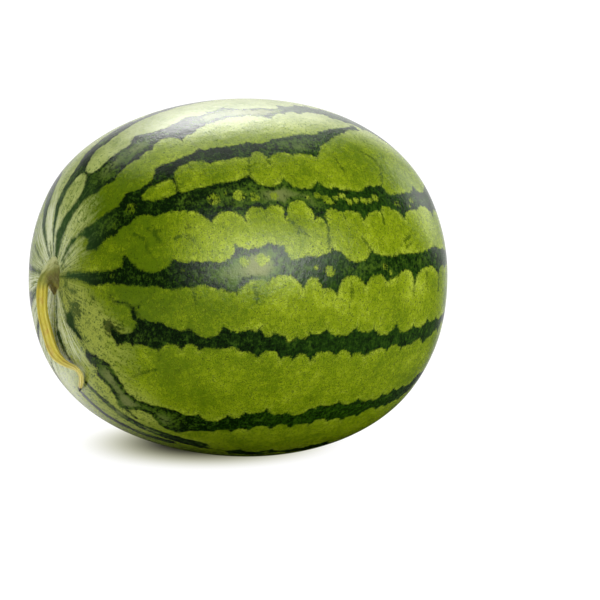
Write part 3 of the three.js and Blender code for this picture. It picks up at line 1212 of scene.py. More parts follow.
@dataclass(frozen=True)
class RindFinish:
    """Waxy striped rind: lime lobes with fine flecks, deep green stripes, pale stem end."""

    lime: Colour = (138, 157, 8)
    lime_rim: Colour = (170, 186, 58)
    lime_shade: Colour = (82, 106, 2)
    fleck: Colour = (46, 68, 2)
    deep: Colour = (7, 25, 1)
    deep_soft: Colour = (31, 62, 3)
    moss: Colour = (70, 96, 18)
    moss_lit: Colour = (117, 124, 70)
    # The straw and line colours come as a paler top copy and a darker low copy: painted highlight on
    # top, over the stem end's own straw.
    straw_top: Colour = (186, 196, 118)
    straw_low: Colour = (152, 163, 64)
    chalk_and_painted_reflection: Colour = (222, 228, 188)
    painted_top_sheen: Colour = (160, 168, 118)
    line_top: Colour = (92, 118, 52)
    line_low: Colour = (70, 90, 34)
    slate: Colour = (44, 72, 28)
    slate_line: Colour = (92, 118, 60)
    button: Colour = (120, 96, 58)
    # Where a zone's step begins and is over: by the height, as a share of the half width,
    raised_zone: Pair = (0.5, 0.92)
    highlight_crown_zone: Pair = (0.79, 0.94)
    # by the reach in mm, from the stem pole or, for the button, from the other pole,
    pale_end: Pair = (54.0, 14.0)
    highlight_crown_start: Pair = (112.0, 140.0)
    highlight_crown_end: Pair = (345.0, 270.0)
    lines_end: Pair = (80.0, 30.0)
    chalk_and_reflection_end: Pair = (56.0, 22.0)
    painted_top_sheen_start: Pair = (70.0, 130.0)
    painted_top_sheen_end: Pair = (310.0, 260.0)
    ragged_end: Pair = (90.0, 25.0)
    softened: Pair = (110.0, 220.0)
    slate_end: Pair = (66.0, 14.0)
    button_edge: Pair = (5.2, 3.0)
    # and by the distance in mm from a stripe's border, outside it and inside it.
    rim_depth: Pair = (5.0, 0.8)
    inner_depth: Pair = (1.2, 5.0)
    # How far the bleached end runs on in mm where the rind is high, low or underneath.
    pale_rise: float = 18.0
    pale_drop: float = 48.0
    pale_under: float = 42.0
    highlight_crown_share: float = 0.72
    # The net of flecks: its cells, the width of its lines and how far they bend, all in mm.
    net_size: float = 5.2
    net_width: float = 0.8
    net_bend: float = 6.0
    net_bend_scale: float = 0.35
    pore_height: float = 0.04
    dimple_height: float = 0.5
    relief: float = 0.55
    roughness: float = 0.22
    ior: float = 1.26

    def material(self, length: float) -> bpy.types.Material:
        """Builds the rind's material.

        Args:
            length: Length of the rind from pole to pole in mm.

        Returns:
            The material.
        """
        paint = RindPaint()
        bright = paint.blend(self.pale_share(paint), self.bright_rind(paint), self.straw_rind(paint))
        colour = paint.blend(self.light_share(paint), self.dark_rind(paint), bright)
        colour = paint.blend((length - paint.reach).ramp(*self.button_edge), colour, self.button)
        pores = paint.speckle + paint.hatch * 0.8 + paint.fine * 0.6
        dimples = paint.noise(paint.spot, *paint.DIMPLES) * self.dimple_height
        paint.feed(paint.shader, {
            "Base Color": colour,
            "Roughness": self.roughness,
            "IOR": self.ior,
            "Normal": paint.bump(pores * self.pore_height + dimples, self.relief),
        })
        return paint.material

    def pale_share(self, paint: RindPaint) -> Wire:
        """How far the rind is paled: bleached round the stem end, and painted paler along the top of
        the fruit as highlight.

        Args:
            paint: The rind's material under construction.

        Returns:
            A share, 1 where the rind is bleached.
        """
        reach, speckle, drift = paint.reach, paint.speckle, paint.drift
        raised = paint.rise.ramp(*self.raised_zone) * self.pale_rise
        pale = reach - raised - paint.low * self.pale_drop - paint.under * self.pale_under
        pale = pale + drift * 14.0
        pale = (pale + paint.streaks * 10.0 + speckle * 8.0).ramp(*self.pale_end)
        # Paler along the top of the fruit: painted highlight.
        crown = paint.rise.ramp(*self.highlight_crown_zone) * reach.ramp(*self.highlight_crown_start)
        crown = paint.over.most(crown)
        crown = crown * (drift * 0.5 + speckle * 0.3 + self.highlight_crown_share)
        return pale.most(crown * reach.ramp(*self.highlight_crown_end))

    def straw_rind(self, paint: RindPaint) -> Wire:
        """Colour of the bleached rind: straw under fine green lines, paler on top as painted highlight,
        with chalky white streaks painted whiter on the top, the left side and underneath as reflection,
        and a painted grey sheen along the top.

        Args:
            paint: The rind's material under construction.

        Returns:
            The colour.
        """
        reach, speckle, streaks = paint.reach, paint.speckle, paint.streaks
        top, left, under = paint.top, paint.left, paint.under
        # Paler on top than low down: painted highlight over the stem end's own straw.
        line = paint.blend(top, self.line_low, self.line_top)
        veil = streaks * reach.ramp(*self.lines_end, 0.4, 0.9) + speckle * 0.8 + paint.hatch * 0.6
        veil = veil + paint.clouds * 0.45 + paint.fine * 0.8
        straw = paint.blend(top, self.straw_low, self.straw_top)
        straw = paint.blend(veil.ramp(-0.1, 0.6), straw, line)
        chalk_and_painted_reflection = (speckle * 0.4 + 0.35 - streaks * 1.1).ramp(0.0, 0.6)
        chalk_and_painted_reflection = chalk_and_painted_reflection * (reach - left * 22.0 - under * 20.0).ramp(*self.chalk_and_reflection_end)
        # Whiter on the top, the left side and underneath, not on the front: painted reflection of the
        # white surroundings along the edges, over the stem end's own chalky streaks.
        chalk_and_painted_reflection = chalk_and_painted_reflection * (top * 0.5 + left * 0.75 + under * 0.7 + 0.05)
        straw = paint.blend(chalk_and_painted_reflection, straw, self.chalk_and_painted_reflection)
        # Greyer along the top of the fruit: painted sheen.
        painted_top_sheen = paint.over * reach.ramp(*self.painted_top_sheen_start) * reach.ramp(*self.painted_top_sheen_end) * 0.9
        return paint.blend(painted_top_sheen, straw, self.painted_top_sheen)

    def light_share(self, paint: RindPaint) -> Wire:
        """How light the rind is, with a ragged border between dark and light.

        Args:
            paint: The rind's material under construction.

        Returns:
            A share, 0 in a stripe and 1 between stripes.
        """
        speckle, hatch, streaks = paint.speckle, paint.hatch, paint.streaks
        waver = paint.grain(paint.spot, *paint.WAVER)
        near_stem = paint.reach.ramp(*self.ragged_end)
        ragged = waver * 1.5 + speckle * 1.0 + streaks * near_stem * 1.6
        even = paint.even + ragged + hatch * 0.7
        odd = paint.odd + ragged + paint.woven(*paint.CROSS_HATCH) * 0.7
        light = (even.most(odd) / (near_stem * 0.8 + 0.95)).ramp(-1.0, 1.0)
        smudge = paint.attribute("paint_smudge")
        smudge = (smudge * (1 + speckle * 0.9 + waver * 1.1 + streaks * 0.8)).ramp(0.08, 0.6)
        light = light * (1 - smudge * 0.8)
        island = paint.attribute("paint_island")
        broken = (hatch * 0.8 + speckle * 0.6 + waver * 0.5) * (island * 3.0).least(1.0)
        return light.most((island + broken * 0.8).ramp(0.16, 0.7) * 0.9)

    def bright_rind(self, paint: RindPaint) -> Wire:
        """Colour between the stripes: lime, paler near a stripe, under a net of dark flecks.

        Args:
            paint: The rind's material under construction.

        Returns:
            The colour.
        """
        hatch, clouds = paint.hatch, paint.clouds * 1.2
        speckle = paint.speckle + paint.fine * (paint.low * 0.7 + 1.3)
        # The tone patches darken the lime near the stem end as painted shade, and pale it in the middle
        # of the front as painted sheen.
        blotch_and_painted_light = paint.drift * 0.55 + paint.attribute("paint_tone") * 0.6
        grit = speckle * 0.62 + hatch * 0.5
        tone = paint.blend(blotch_and_painted_light + clouds * 0.4 + grit + 0.62, self.lime_shade, self.lime)
        rim = paint.depth.ramp(*self.rim_depth, 0.0, 0.34)
        rim = rim + blotch_and_painted_light + clouds * 0.3 - 0.2 + grit * 0.8
        tone = paint.blend(rim, tone, self.lime_rim)
        net = paint.cells(self.bent(paint), self.net_size).ramp(0.0, self.net_width, 1.0, 0.0)
        net = net * (clouds + speckle).ramp(-0.35, 0.35) * 0.58
        strokes = (hatch * 0.8 + speckle * 0.9).ramp(0.2, 0.75) * 0.85
        veins = (paint.attribute("paint_vein") + speckle * 1.0 + clouds * 0.9).ramp(1.7, 0.3)
        return paint.blend(net.most(strokes).most(veins * 0.75), tone, self.fleck)

    def dark_rind(self, paint: RindPaint) -> Wire:
        """Colour inside the stripes: deep green with moss in it, paled to a grey-green painted sheen
        where the haze is strongest, and slate near the stem.

        Args:
            paint: The rind's material under construction.

        Returns:
            The colour.
        """
        reach, speckle = paint.reach, paint.speckle
        mottle = paint.grain(paint.spot, *paint.MOTTLE)
        grit = speckle * 0.7 + paint.hatch * 0.5
        softer = grit + mottle * 0.6 + reach.ramp(*self.softened) * 0.45
        tone = paint.blend(softer.ramp(-0.2, 0.95), self.deep, self.deep_soft)
        inner = (0 - paint.depth + mottle * 1.2).ramp(*self.inner_depth)
        haze = paint.attribute("paint_haze") * (inner * 0.35 + 0.65)
        moss = (grit + mottle * 0.8 + haze * 0.6 + inner * 0.12).ramp(0.1, 1.1)
        moss = moss * (haze * 0.35 + 0.55).least(1.0)
        # Strong haze pales the stripe to a grey-green: painted sheen where it lies under the
        # highlights, paler moss elsewhere.
        lit = paint.blend(haze.ramp(0.9, 1.9), self.moss, self.moss_lit)
        dark = paint.blend(moss, tone, lit)
        lines = (paint.streaks + speckle * 0.6).ramp(-0.1, 0.9)
        slate = paint.blend(lines, self.slate, self.slate_line)
        return paint.blend((reach - paint.top * 20.0).ramp(*self.slate_end), dark, slate)

    def bent(self, paint: RindPaint) -> Wire:
        """Places bent by a slow noise, so that the net's lines curve.

        Args:
            paint: The rind's material under construction.

        Returns:
            The bent places in mm.
        """
        values = {"Vector": paint.spot, "Scale": self.net_bend_scale, "Detail": 2.0}
        swirl = paint.wire("ShaderNodeTexNoise", values, "Color", noise_dimensions="3D")
        swirl = paint.vector("SUBTRACT", swirl, (0.5, 0.5, 0.5))
        return paint.vector("ADD", paint.spot, paint.scaled(swirl, self.net_bend))


@dataclass(frozen=True)
class StalkFinish:
    """Dried stalk: straw ribs over ochre grooves, a green shoulder, a corky scar and a black tip."""

    ochre: Colour = (198, 182, 46)
    straw: Colour = (228, 218, 106)
    cream: Colour = (238, 230, 158)
    fibre: Colour = (150, 124, 26)
    rust: Colour = (186, 140, 44)
    olive: Colour = (118, 128, 42)
    beige: Colour = (198, 202, 142)
    cork: Colour = (96, 88, 26)
    black: Colour = (20, 14, 4)
    roughness: float = 0.5
    relief: float = 0.7
    fibre_scale: Pair = (7.0, 2.6)
    # Where a zone's step begins and is over: along the stalk, as a share of its length,
    cream_from: Pair = (0.7, 0.84)
    shoulder_end: Pair = (0.42, 0.3)
    knob_end: Pair = (0.36, 0.3)
    scar_end: Pair = (0.3, 0.25)
    tip_from: Pair = (0.936, 0.948)
    # and by its place over the rind, in mm.
    shoulder_up: Pair = (-9.0, -1.5)
    knob_up: Pair = (-1.0, 4.5)
    scar_up: Pair = (3.5, -2.0)
    scar_height: Pair = (9.5, 5.5)
    scar_side: Pair = (-4.5, -1.0)

    def material(self) -> bpy.types.Material:
        """Builds the stalk's material from its run and laid-out place.

        Returns:
            The material.
        """
        paint = Paint("dry stalk")
        along, around_x, around_y = paint.split(paint.attribute("stalk_run", "Vector"))
        side, up, height = paint.split(paint.attribute("stalk_place", "Vector"))
        groove = paint.attribute("stalk_groove")
        place = paint.place()
        grain = paint.grain(place, 1.4, 3.0, 0.65)
        length, girth = self.fibre_scale
        run = paint.joined(along * length, around_x * girth, around_y * girth)
        fibres = paint.grain(run, 1.0, 4.0, 0.65)
        patches = paint.grain(place, 6.0, 2.0)
        worn = fibres * 0.7 + grain * 0.3 + patches * 0.35
        # Straw and cream on the ribs, ochre and brown in the grooves: painted highlight on the ribs and
        # painted shade in the grooves, over the stalk's own colours and fibre streaks.
        tone = paint.blend(worn - groove * 0.9 + 0.55, self.ochre, self.straw)
        tone = paint.blend((groove * 0.7 + worn * 0.8).ramp(0.35, 1.1) * 0.75, tone, self.fibre)
        tone = paint.blend(along.ramp(*self.cream_from, 0.0, 0.6) * (1 - groove), tone, self.cream)
        rust = (patches * 0.8 + fibres * 0.6 - 0.05).ramp(0.0, 0.5) * 0.6
        tone = paint.blend(rust, tone, self.rust)
        shoulder = (up + grain * 1.6).ramp(*self.shoulder_up) * along.ramp(*self.shoulder_end)
        tone = paint.blend(shoulder * (worn * 0.3 + 0.85), tone, self.olive)
        knob = (up + grain * 1.5 + worn - side * 1.1).ramp(*self.knob_up)
        knob = knob * along.ramp(*self.knob_end)
        tone = paint.blend(knob * (0.85 - groove * 0.5 - worn * 1.3), tone, self.beige)
        scar = (up + grain * 1.8 - side * 0.8).ramp(*self.scar_up)
        scar = scar * height.ramp(*self.scar_height) * along.ramp(*self.scar_end)
        scar = scar * (side + grain * 1.4).ramp(*self.scar_side)
        tone = paint.blend(scar * (0.75 - worn * 0.9), tone, self.cork)
        tone = paint.blend((along + grain * 0.004).ramp(*self.tip_from), tone, self.black)
        paint.feed(paint.shader, {
            "Base Color": tone,
            "Roughness": self.roughness,
            "Normal": paint.bump(fibres * 0.22 + grain * 0.1, self.relief),
        })
        return paint.material


@dataclass(frozen=True)
class FloorFinish:
    """Plain pale floor with a painted close, warm contact shadow, which mirrors dimly in gloss."""

    white: Colour = (246, 246, 246)
    warm: Colour = (255, 255, 206)
    open_white: Colour = (255, 255, 255)
    roughness: float = 0.9
    lift: float = 0.9
    shine: float = 1.12
    shade_middle: tuple[float, float, float] = (0.0, 40.0, 0.0)
    shade_core: float = 28.0
    shade_reach: float = 98.0
    mirrored: float = 0.12
    mirrored_behind: float = 1.0
    behind_zone: Pair = (-0.93, -0.5)
    under_zone: Pair = (90.0, 220.0)
    patch: tuple[float, float, float] = (-172.0, 116.0, 0.0)
    patch_reach: float = 80.0
    patch_shine: float = 3.4

    def material(self, front: Vector) -> bpy.types.Material:
        """Builds the floor's material.

        Args:
            front: The level direction of the set's front.

        Returns:
            The material.
        """
        paint = Paint("pale floor")
        paint.feed(paint.shader, {
            "Base Color": linear(*self.white), "Roughness": self.roughness, "Specular IOR Level": 0.0,
        })
        seen = paint.wire("ShaderNodeLightPath", {}, "Is Camera Ray")
        glossy = paint.wire("ShaderNodeLightPath", {}, "Is Glossy Ray")
        strength = seen * self.shine + glossy * self.mirror(paint, front)
        glow = paint.wire("ShaderNodeEmission", {"Color": self.tone(paint), "Strength": strength})
        plain = Wire(paint, paint.shader.outputs[0])
        mixed = paint.wire("ShaderNodeMixShader", {0: seen * self.lift + glossy, 1: plain, 2: glow})
        paint.feed(paint.output, {"Surface": mixed})
        return paint.material

    def tone(self, paint: Paint) -> Wire:
        """Colour of the floor: white, with a painted contact shadow where the fruit closes over it."""
        away = paint.measure("DISTANCE", paint.place(), self.shade_middle)
        opened = away.ramp(self.shade_core, self.shade_reach)
        return paint.scaled(paint.blend(opened, self.warm, self.open_white), opened)

    def mirror(self, paint: Paint, front: Vector) -> Wire:
        """How bright the floor looks in gloss, painted by place: dim before the fruit, a painted shadow
        under it, bright behind, and a painted glowing patch to the left behind the fruit.

        Args:
            paint: The floor's material under construction.
            front: The level direction of the set's front.

        Returns:
            How bright it looks there.
        """
        place = paint.place()
        nearer = paint.measure("DOT_PRODUCT", paint.vector("NORMALIZE", place), front)
        shine = nearer.ramp(*self.behind_zone, self.mirrored_behind, self.mirrored)
        shine = shine * paint.measure("LENGTH", place).ramp(*self.under_zone)
        # A painted glowing patch behind the fruit's stem end that only gloss shows, mirrored as a pale
        # reflection on the rind's edge.
        patch = paint.measure("DISTANCE", place, self.patch).hump(0.0, self.patch_reach)
        return shine.most(patch * self.patch_shine)


# ---------------------------------------------------------------- the fruit


@dataclass
class Fruit:
    """The fruit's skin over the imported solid."""

    shape: RindShape = field(default_factory=RindShape)
    finish: RindFinish = field(default_factory=RindFinish)
    around: int = 446
    along: int = 222
    inset: float = 0.15
    front_crowding: float = 0.35
    stem_crowding: float = 0.18
    undulation: float = 0.16
    undulation_size: float = 21.0
    settled_from: float = 30.0

    def skin(self) -> bpy.types.Object:
        """Bends a grid over the fruit's rule and paints it with its markings.

        Returns:
            The skin.
        """
        length = float(self.shape.outline()[0][-1])
        sheet = Sheet("rind")
        around, along, inset, front, stem, depth = sheet.sizes(
            self, "around", "along", "inset", "front_crowding", "stem_crowding", "undulation"
        )
        grid, across, up = sheet.grid(around + 1, along + 1)
        turned = across * FULL_TURN
        clock = turned + turned.cos() * front
        reach = (up + stem * (up * up - up)) * length
        rind = sheet.joined(reach, clock.cos() * HALF_WIDTH, clock.sin() * HALF_WIDTH)
        waves = sheet.noise(rind, self.undulation_size, 1.0) * depth
        settled = (reach.least(length - reach) / self.settled_from).least(1.0)
        place = over_rind(sheet, self.shape, reach, clock, waves * settled - inset)
        named = sheet.store(grid, "rind", "FLOAT_VECTOR", rind)
        sheet.finished(sheet.moved(named, place), self.finish.material(length))
        piece = sheet.make("fruit_skin")
        self.paint(piece)
        return piece

    def paint(self, piece: bpy.types.Object) -> None:
        """Stores the marking fields on the skin's points.

        Args:
            piece: The skin, with its rind attribute.
        """
        mesh = piece.data
        rind = np.zeros(len(mesh.vertices) * 3, np.float32)
        mesh.attributes["rind"].data.foreach_get("vector", rind)
        reach, across, up = rind.reshape(-1, 3).T.astype(float)
        clock = np.degrees(np.arctan2(up, across))
        for name, values in Marking(self.shape, reach, clock).fields().items():
            layer = mesh.attributes.new(name, "FLOAT", "POINT")
            layer.data.foreach_set("value", values.astype(np.float32))

    def build(self) -> list[bpy.types.Object]:
        """Makes the skin and puts it in the fruit's place.

        Returns:
            The one piece.
        """
        piece = self.skin()
        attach(piece, "root")
        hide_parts("fruit")
        return [piece]


# ---------------------------------------------------------------- the stalk


@dataclass(frozen=True)
class FootRing:
    """A cross-section of the stalk's foot, between two points.

    Each is given by how far it lies from the stem pole towards the crown, and its height.
    """

    inner: Pair
    outer: Pair
    half_width: float


@dataclass(frozen=True)
class ShaftRing:
    """A cross-section of the shaft, placed by the middle of it over the rind."""

    reach: float
    clock: float
    height: float
    half_width: float
    half_depth: float


@dataclass
class Stalk:
    """The dry stalk with its flared foot, bent over the end of the fruit."""

    shape: RindShape = field(default_factory=RindShape)
    finish: StalkFinish = field(default_factory=StalkFinish)
    foot: tuple[FootRing, ...] = (
        FootRing((-12, -0.25), (14.5, -0.25), 8.4),
        FootRing((-9.8, 1.3), (13.2, 2.2), 7.3),
        FootRing((-6.8, 2.4), (11, 4.1), 6.1),
        FootRing((-5.2, 3.1), (8.5, 5.9), 5.2),
        FootRing((-4.8, 3.7), (5.8, 8), 4.6),
        FootRing((-5, 4.2), (1.9, 10.3), 4.2),
        FootRing((-6.6, 4.5), (-3.8, 11.8), 4),
    )
    shaft: tuple[ShaftRing, ...] = (
        ShaftRing(10.5, 180, 8.1, 4, 3.8),
        ShaftRing(18.5, 180.5, 7.1, 3.9, 3.6),
        ShaftRing(25, 178.5, 6.3, 3.9, 3.6),
        ShaftRing(31.3, 175, 5.6, 4.1, 3.6),
        ShaftRing(38, 172.5, 5.1, 4.3, 3.6),
        ShaftRing(44.7, 170.6, 4.7, 4.7, 3.5),
        ShaftRing(49.6, 168.2, 4.2, 4.6, 3.1),
        ShaftRing(54.4, 163, 3.4, 3, 2.3),
        ShaftRing(58.2, 157.5, 2.9, 2.2, 1.8),
        ShaftRing(62, 152.7, 2.8, 1.9, 1.6),
        ShaftRing(65.9, 152.3, 2.8, 2, 1.6),
        ShaftRing(69.5, 156.2, 2.6, 1.9, 1.5),
        ShaftRing(73.2, 162.6, 2.3, 1.4, 1.3),
        ShaftRing(75.4, 166.5, 2, 0.6, 0.6),
    )
    ridge_share: float = 0.13
    ridge_count: int = 7
    ridge_turns: float = 0.12
    ridge_sharpness: float = 1.8
    thread_scale: Pair = (7.0, 2.4)
    thread_detail: float = 2.0
    flake_scale: Pair = (26.0, 6.0)
    flake_detail: float = 3.0
    flaked: Pair = (0.34, 0.24)
    fibre_share: float = 0.09
    flake_share: float = 0.22
    inset: float = 0.06
    around: int = 110
    along: int = 430
    rail_steps: int = 20
    no_gap: float = 1e-4

    RAILS = ("inner", "outer", "side")

    def rails(self) -> dict[str, np.ndarray]:
        """The three rails that the sections hang on: inner point, outer point and sideways arm.

        Returns:
            The points of each rail in mm, by its name.
        """
        inner = [(0.0, *ring.inner) for ring in self.foot]
        outer = [(0.0, *ring.outer) for ring in self.foot]
        side = [(-ring.half_width, 0.0, 0.0) for ring in self.foot]
        angles = np.radians([ring.clock for ring in self.shaft])
        reaches = np.array([ring.reach for ring in self.shaft])
        middles = np.stack([reaches * np.sin(angles), reaches * np.cos(angles)], axis=1)
        last = len(self.shaft) - 1
        for index, ring in enumerate(self.shaft):
            heading = middles[min(index + 1, last)] - middles[max(index - 1, 0)]
            heading = heading / np.hypot(*heading)
            inner.append((*middles[index], ring.height - ring.half_depth))
            outer.append((*middles[index], ring.height + ring.half_depth))
            side.append((heading[1] * ring.half_width, -heading[0] * ring.half_width, 0.0))
        lines = (self.smooth(np.array(points, float)) for points in (inner, outer, side))
        return dict(zip(self.RAILS, lines))

    def smooth(self, points: np.ndarray) -> np.ndarray:
        """A centripetal Catmull-Rom line through points, with even steps between them.

        Args:
            points: Rows of three coordinates.

        Returns:
            Rows of the finer line.
        """
        before = 2 * points[0] - points[1]
        after = 2 * points[-1] - points[-2]
        padded = np.concatenate([[before], points, [after]])
        made = []
        for index in range(len(points) - 1):
            four = padded[index:index + 4]
            gaps = np.linalg.norm(np.diff(four, axis=0), axis=1) ** 0.5
            gaps = np.where(gaps < self.no_gap, 1.0, gaps)
            start, end = four[1], four[2]
            leave = (start - four[0]) / gaps[0] - (end - four[0]) / (gaps[0] + gaps[1])
            leave = (leave + (end - start) / gaps[1]) * gaps[1]
            arrive = (end - start) / gaps[1] - (four[3] - start) / (gaps[1] + gaps[2])
            arrive = (arrive + (four[3] - end) / gaps[2]) * gaps[1]
            share = (np.arange(self.rail_steps) / self.rail_steps)[:, None]
            made.append(
                start * (2 * share**3 - 3 * share**2 + 1) + end * (3 * share**2 - 2 * share**3)
                + leave * (share**3 - 2 * share**2 + share) + arrive * (share**3 - share**2)
            )
        made.append(points[-1:])
        return np.concatenate(made)

    def ruler(self) -> bpy.types.Mesh:
        """A straight line of even steps that carries the three rails as attributes.

        Returns:
            The line, as a mesh of edges.
        """
        rails = self.rails()
        count = len(rails["inner"])
        line = bpy.data.meshes.new("stalk rails")
        line.from_pydata(
            [(step, 0, 0) for step in range(count)],
            [(step, step + 1) for step in range(count - 1)],
            [],
        )
        for name, points in rails.items():
            layer = line.attributes.new(name, "FLOAT_VECTOR", "POINT")
            layer.data.foreach_set("vector", points.astype(np.float32).ravel())
        return line

    def body(self) -> bpy.types.Object:
        """Bends a grid round the rails and lays it over the rind.

        Returns:
            The stalk.
        """
        sheet = Sheet("stalk", takes_mesh=True)
        around, along, inset, ridge, turns, fibre, flake = sheet.sizes(
            self, "around", "along", "inset", "ridge_share", "ridge_turns", "fibre_share",
            "flake_share",
        )
        ruler = Wire(sheet, sheet.start.outputs["Geometry"])
        rails = sheet.wire("GeometryNodeMeshToCurve", {"Mesh": ruler})
        grid, across, up = sheet.grid(around + 1, along + 1)
        run = ((up * along - 1) / (along - 2)).most(0.0).least(1.0)
        open_ = ((up * along).least(along - up * along)).least(1.0)
        inner, outer, side = (self.sampled(sheet, rails, name, run) for name in self.RAILS)
        angle = across * -FULL_TURN
        wound = angle + run * turns * FULL_TURN
        groove = (0.5 - 0.5 * (wound * self.ridge_count).cos()) ** self.ridge_sharpness
        wound_run = sheet.joined(run, wound.cos(), wound.sin())
        threads = self.rough(sheet, wound_run, self.thread_scale, self.thread_detail)
        flakes = self.rough(sheet, wound_run, self.flake_scale, self.flake_detail)
        flakes = flakes * run.ramp(*self.flaked) * flake * 2.0
        uneven = (threads * 3.0 + 0.8).most(0.15).least(1.4)
        size = (1 - ridge * groove * uneven + threads * fibre * 2.0 + flakes - inset) * open_
        middle = sheet.scaled(sheet.vector("ADD", inner, outer), 0.5)
        across_way = sheet.scaled(sheet.vector("SUBTRACT", outer, inner), 0.5 * size * angle.sin())
        place = sheet.vector("ADD", middle, across_way)
        place = sheet.vector("ADD", place, sheet.scaled(side, size * angle.cos()))
        aside, ahead, height = sheet.split(place)
        reach = (aside * aside + ahead * ahead) ** 0.5
        clock = sheet.math("ARCTAN2", aside, ahead)
        laid = over_rind(sheet, self.shape, reach, clock, height)
        named = sheet.store(grid, "stalk_run", "FLOAT_VECTOR", wound_run)
        named = sheet.store(named, "stalk_place", "FLOAT_VECTOR", place)
        named = sheet.store(named, "stalk_groove", "FLOAT", groove)
        sheet.finished(sheet.moved(named, laid), self.finish.material())
        return sheet.make("stalk", self.ruler())

    @staticmethod
    def rough(sheet: Sheet, wound_run: Wire, scale: Pair, detail: float) -> Wire:
        """Noise drawn out along the stalk, by its scale along it and its scale round it."""
        drawn = sheet.vector("MULTIPLY", wound_run, (scale[0], scale[1], scale[1]))
        return sheet.noise(drawn, 1.0, detail)

    @staticmethod
    def sampled(sheet: Sheet, rails: Wire, name: str, run: Wire) -> Wire:
        """The point of a rail at a share of its run.

        Args:
            sheet: The tree that needs it.
            rails: The ruler as a curve.
            name: Name of the rail.
            run: Share of its run.

        Returns:
            The point in mm.
        """
        kind = "FLOAT_VECTOR"
        rail = sheet.wire("GeometryNodeInputNamedAttribute", {"Name": name}, data_type=kind)
        values = {"Curves": rails, "Value": rail, "Factor": run}
        return sheet.wire("GeometryNodeSampleCurve", values, "Value", mode="FACTOR", data_type=kind)

    def build(self) -> list[bpy.types.Object]:
        """Makes the stalk and puts it in the stem's place.

        Returns:
            The one piece.
        """
        piece = self.body()
        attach(piece, "root")
        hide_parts("stem")
        return [piece]


# ---------------------------------------------------------------- the studio


def direction(azimuth: float, elevation: float) -> Vector:
    """A direction from its angles in degrees.

    Args:
        azimuth: Angle round the upright from -Y towards +X.
        elevation: Angle above the floor.

    Returns:
        The unit vector.
    """
    turn = math.radians(azimuth)
    rise = math.radians(elevation)
    return Vector((
        math.sin(turn) * math.cos(rise), -math.cos(turn) * math.cos(rise), math.sin(rise),
    ))


def hung(name: str, data: bpy.types.ID, place: Vector, facing: Vector) -> bpy.types.Object:
    """Puts a lamp or a camera into the scene.

    Args:
        name: Its name.
        data: What it is.
        place: Where it hangs, in metres.
        facing: The direction in which it looks.

    Returns:
        Its object.
    """
    made = bpy.data.objects.new(name, data)
    made.location = place
    made.rotation_mode = "QUATERNION"
    made.rotation_quaternion = facing.to_track_quat("-Z", "Y")
    bpy.context.scene.collection.objects.link(made)
    return made


@dataclass(frozen=True)
class Lamp:
    """A soft area lamp that faces the fruit."""

    name: str
    azimuth: float
    elevation: float
    distance: float
    power: float
    width: float
    height: float
    gloss: float

    def build(self, aim: Vector) -> None:
        """Adds the lamp, turned towards a point.

        Args:
            aim: The point, in metres.
        """
        data = bpy.data.lights.new(self.name, "AREA")
        data.shape = "RECTANGLE"
        data.size = self.width
        data.size_y = self.height
        data.energy = self.power
        data.specular_factor = self.gloss
        back = direction(self.azimuth, self.elevation)
        hung(self.name, data, aim + back * self.distance, -back)


@dataclass(frozen=True)
class Softbox:
    """A soft patch of light in the surroundings, by where it hangs and its angles from its middle."""

    azimuth: float
    elevation: float
    outer: float
    inner: float
    strength: float

    def zone(self) -> Pair:
        """Cosines of the angles at which it begins and at which it is at its full strength."""
        return math.cos(math.radians(self.outer)), math.cos(math.radians(self.inner))


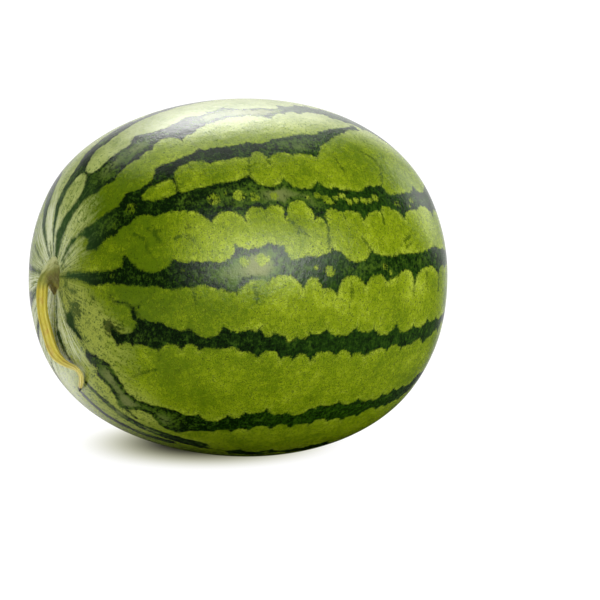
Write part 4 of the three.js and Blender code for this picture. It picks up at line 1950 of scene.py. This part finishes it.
@dataclass(frozen=True)
class Studio:
    """Pale floor, white surroundings, a broad overhead light, a soft lamp and the camera."""

    middle: tuple[float, float, float] = (0.0, 0.0, 0.1187)
    azimuth: float = -28.0
    elevation: float = 8.0
    distance: float = 1.6
    aim_right: float = 0.04275
    aim_up: float = -0.0151
    lens: float = 143.28
    sensor: float = 36.0
    far: float = 100.0
    floor_size: float = 60.0
    floor_gap: float = 0.0002
    backdrop: float = 1.05
    bright_side: float = 1.02
    dim_side: float = 0.42
    dim_azimuth: float = -105.0
    dim_zone: Pair = (-0.35, 0.75)
    rims: float = 0.9
    rim_zone: Pair = (-0.97, -0.62)
    glimmer: float = 0.05
    softboxes: tuple[Softbox, ...] = (
        Softbox(154.5, 50, 16.5, 2, 12.0),
        Softbox(150, 36, 22, 3, 3.8),
        Softbox(151, 18, 28, 5, 1.3),
        Softbox(3, 17, 23, 0, 17.0),
        Softbox(0, 22, 38, 5, 4.5),
        Softbox(104, 17, 20, 5, 2.5),
    )
    sun: float = 1.7
    sun_angle: float = 60.0
    sun_azimuth: float = 160.0
    sun_elevation: float = 65.0
    floor_finish: FloorFinish = field(default_factory=FloorFinish)
    lamp: Lamp = Lamp("front", 20, 25, 2.6, 11, 1.28, 0.8, 0.2)

    def floor(self) -> bpy.types.Object:
        """Lays the floor.

        Returns:
            The floor.
        """
        half = self.floor_size / 2
        mesh = bpy.data.meshes.new("floor")
        corners = [(-half, -half), (half, -half), (half, half), (-half, half)]
        mesh.from_pydata([(x, y, -self.floor_gap) for x, y in corners], [], [(0, 1, 2, 3)])
        mesh.materials.append(self.floor_finish.material(direction(self.azimuth, 0.0)))
        floor = bpy.data.objects.new("floor", mesh)
        bpy.context.scene.collection.objects.link(floor)
        return floor

    @staticmethod
    def facing(plan: Plan, towards: Wire, azimuth: float, elevation: float) -> Wire:
        """Cosine of the angle between where a ray goes and a direction."""
        return plan.measure("DOT_PRODUCT", towards, direction(azimuth, elevation))

    def surroundings(self) -> None:
        """Fills the room with soft light, dimmer on one side, with softboxes that only gloss shows."""
        world = bpy.data.worlds.new("white room")
        world.use_nodes = True
        plan = Plan(world.node_tree)
        towards = plan.wire("ShaderNodeTexCoord", {}, "Generated")
        glossy = self.facing(plan, towards, self.azimuth, 0.0).ramp(
            *self.rim_zone, self.rims, self.glimmer
        )
        for softbox in self.softboxes:
            near = self.facing(plan, towards, softbox.azimuth, softbox.elevation)
            glossy = glossy.most(near.ramp(*softbox.zone(), 0.0, softbox.strength))
        diffuse = self.facing(plan, towards, self.dim_azimuth, 0.0).ramp(
            *self.dim_zone, self.bright_side, self.dim_side
        )
        seen = plan.wire("ShaderNodeLightPath", {}, "Is Camera Ray")
        mirrored = plan.wire("ShaderNodeLightPath", {}, "Is Glossy Ray")
        strength = diffuse + (glossy - diffuse) * mirrored
        strength = strength + (self.backdrop - strength) * seen
        plan.feed(world.node_tree.nodes["Background"], {
            "Color": (1.0, 1.0, 1.0, 1.0), "Strength": strength,
        })
        bpy.context.scene.world = world
        bpy.context.scene.view_settings.view_transform = "Standard"

    def sky(self) -> None:
        """Hangs the broad overhead light behind the fruit."""
        data = bpy.data.lights.new("overhead", "SUN")
        data.energy = self.sun
        data.angle = math.radians(self.sun_angle)
        hung("overhead", data, Vector(), -direction(self.sun_azimuth, self.sun_elevation))

    def camera(self) -> None:
        """Places the camera, aimed a little to the right of the fruit's middle and below it."""
        data = bpy.data.cameras.new("camera")
        data.lens = self.lens
        data.sensor_width = self.sensor
        data.clip_end = self.far
        back = direction(self.azimuth, self.elevation)
        right = direction(self.azimuth + 90, 0.0)
        middle = Vector(self.middle)
        place = middle + back * self.distance
        aim = middle + right * self.aim_right + back.cross(right) * self.aim_up
        bpy.context.scene.camera = hung("camera", data, place, aim - place)

    def build(self) -> None:
        """Sets up the whole studio."""
        self.camera()
        self.surroundings()
        self.sky()
        self.floor()
        self.lamp.build(Vector(self.middle))


# ---------------------------------------------------------------- putting it together


def report(pieces: Iterable[bpy.types.Object]) -> None:
    """Logs each finished piece with its number of triangles and its size in mm.

    Args:
        pieces: The finished pieces.
    """
    for piece in pieces:
        triangles = sum(len(face.vertices) - 2 for face in piece.data.polygons)
        size = " x ".join(f"{side / MM:.1f}" for side in piece.dimensions)
        log.info("%s: %d triangles, %s mm", piece.name, triangles, size)


def main() -> None:
    """Builds the camera and studio, then the fruit and its stalk, and reports each piece."""
    logging.basicConfig(level=logging.INFO, format="%(name)s: %(message)s")
    Studio().build()
    for part in (Fruit(), Stalk()):
        report(part.build())
    bpy.context.view_layer.update()


if __name__ == "__main__":
    main()
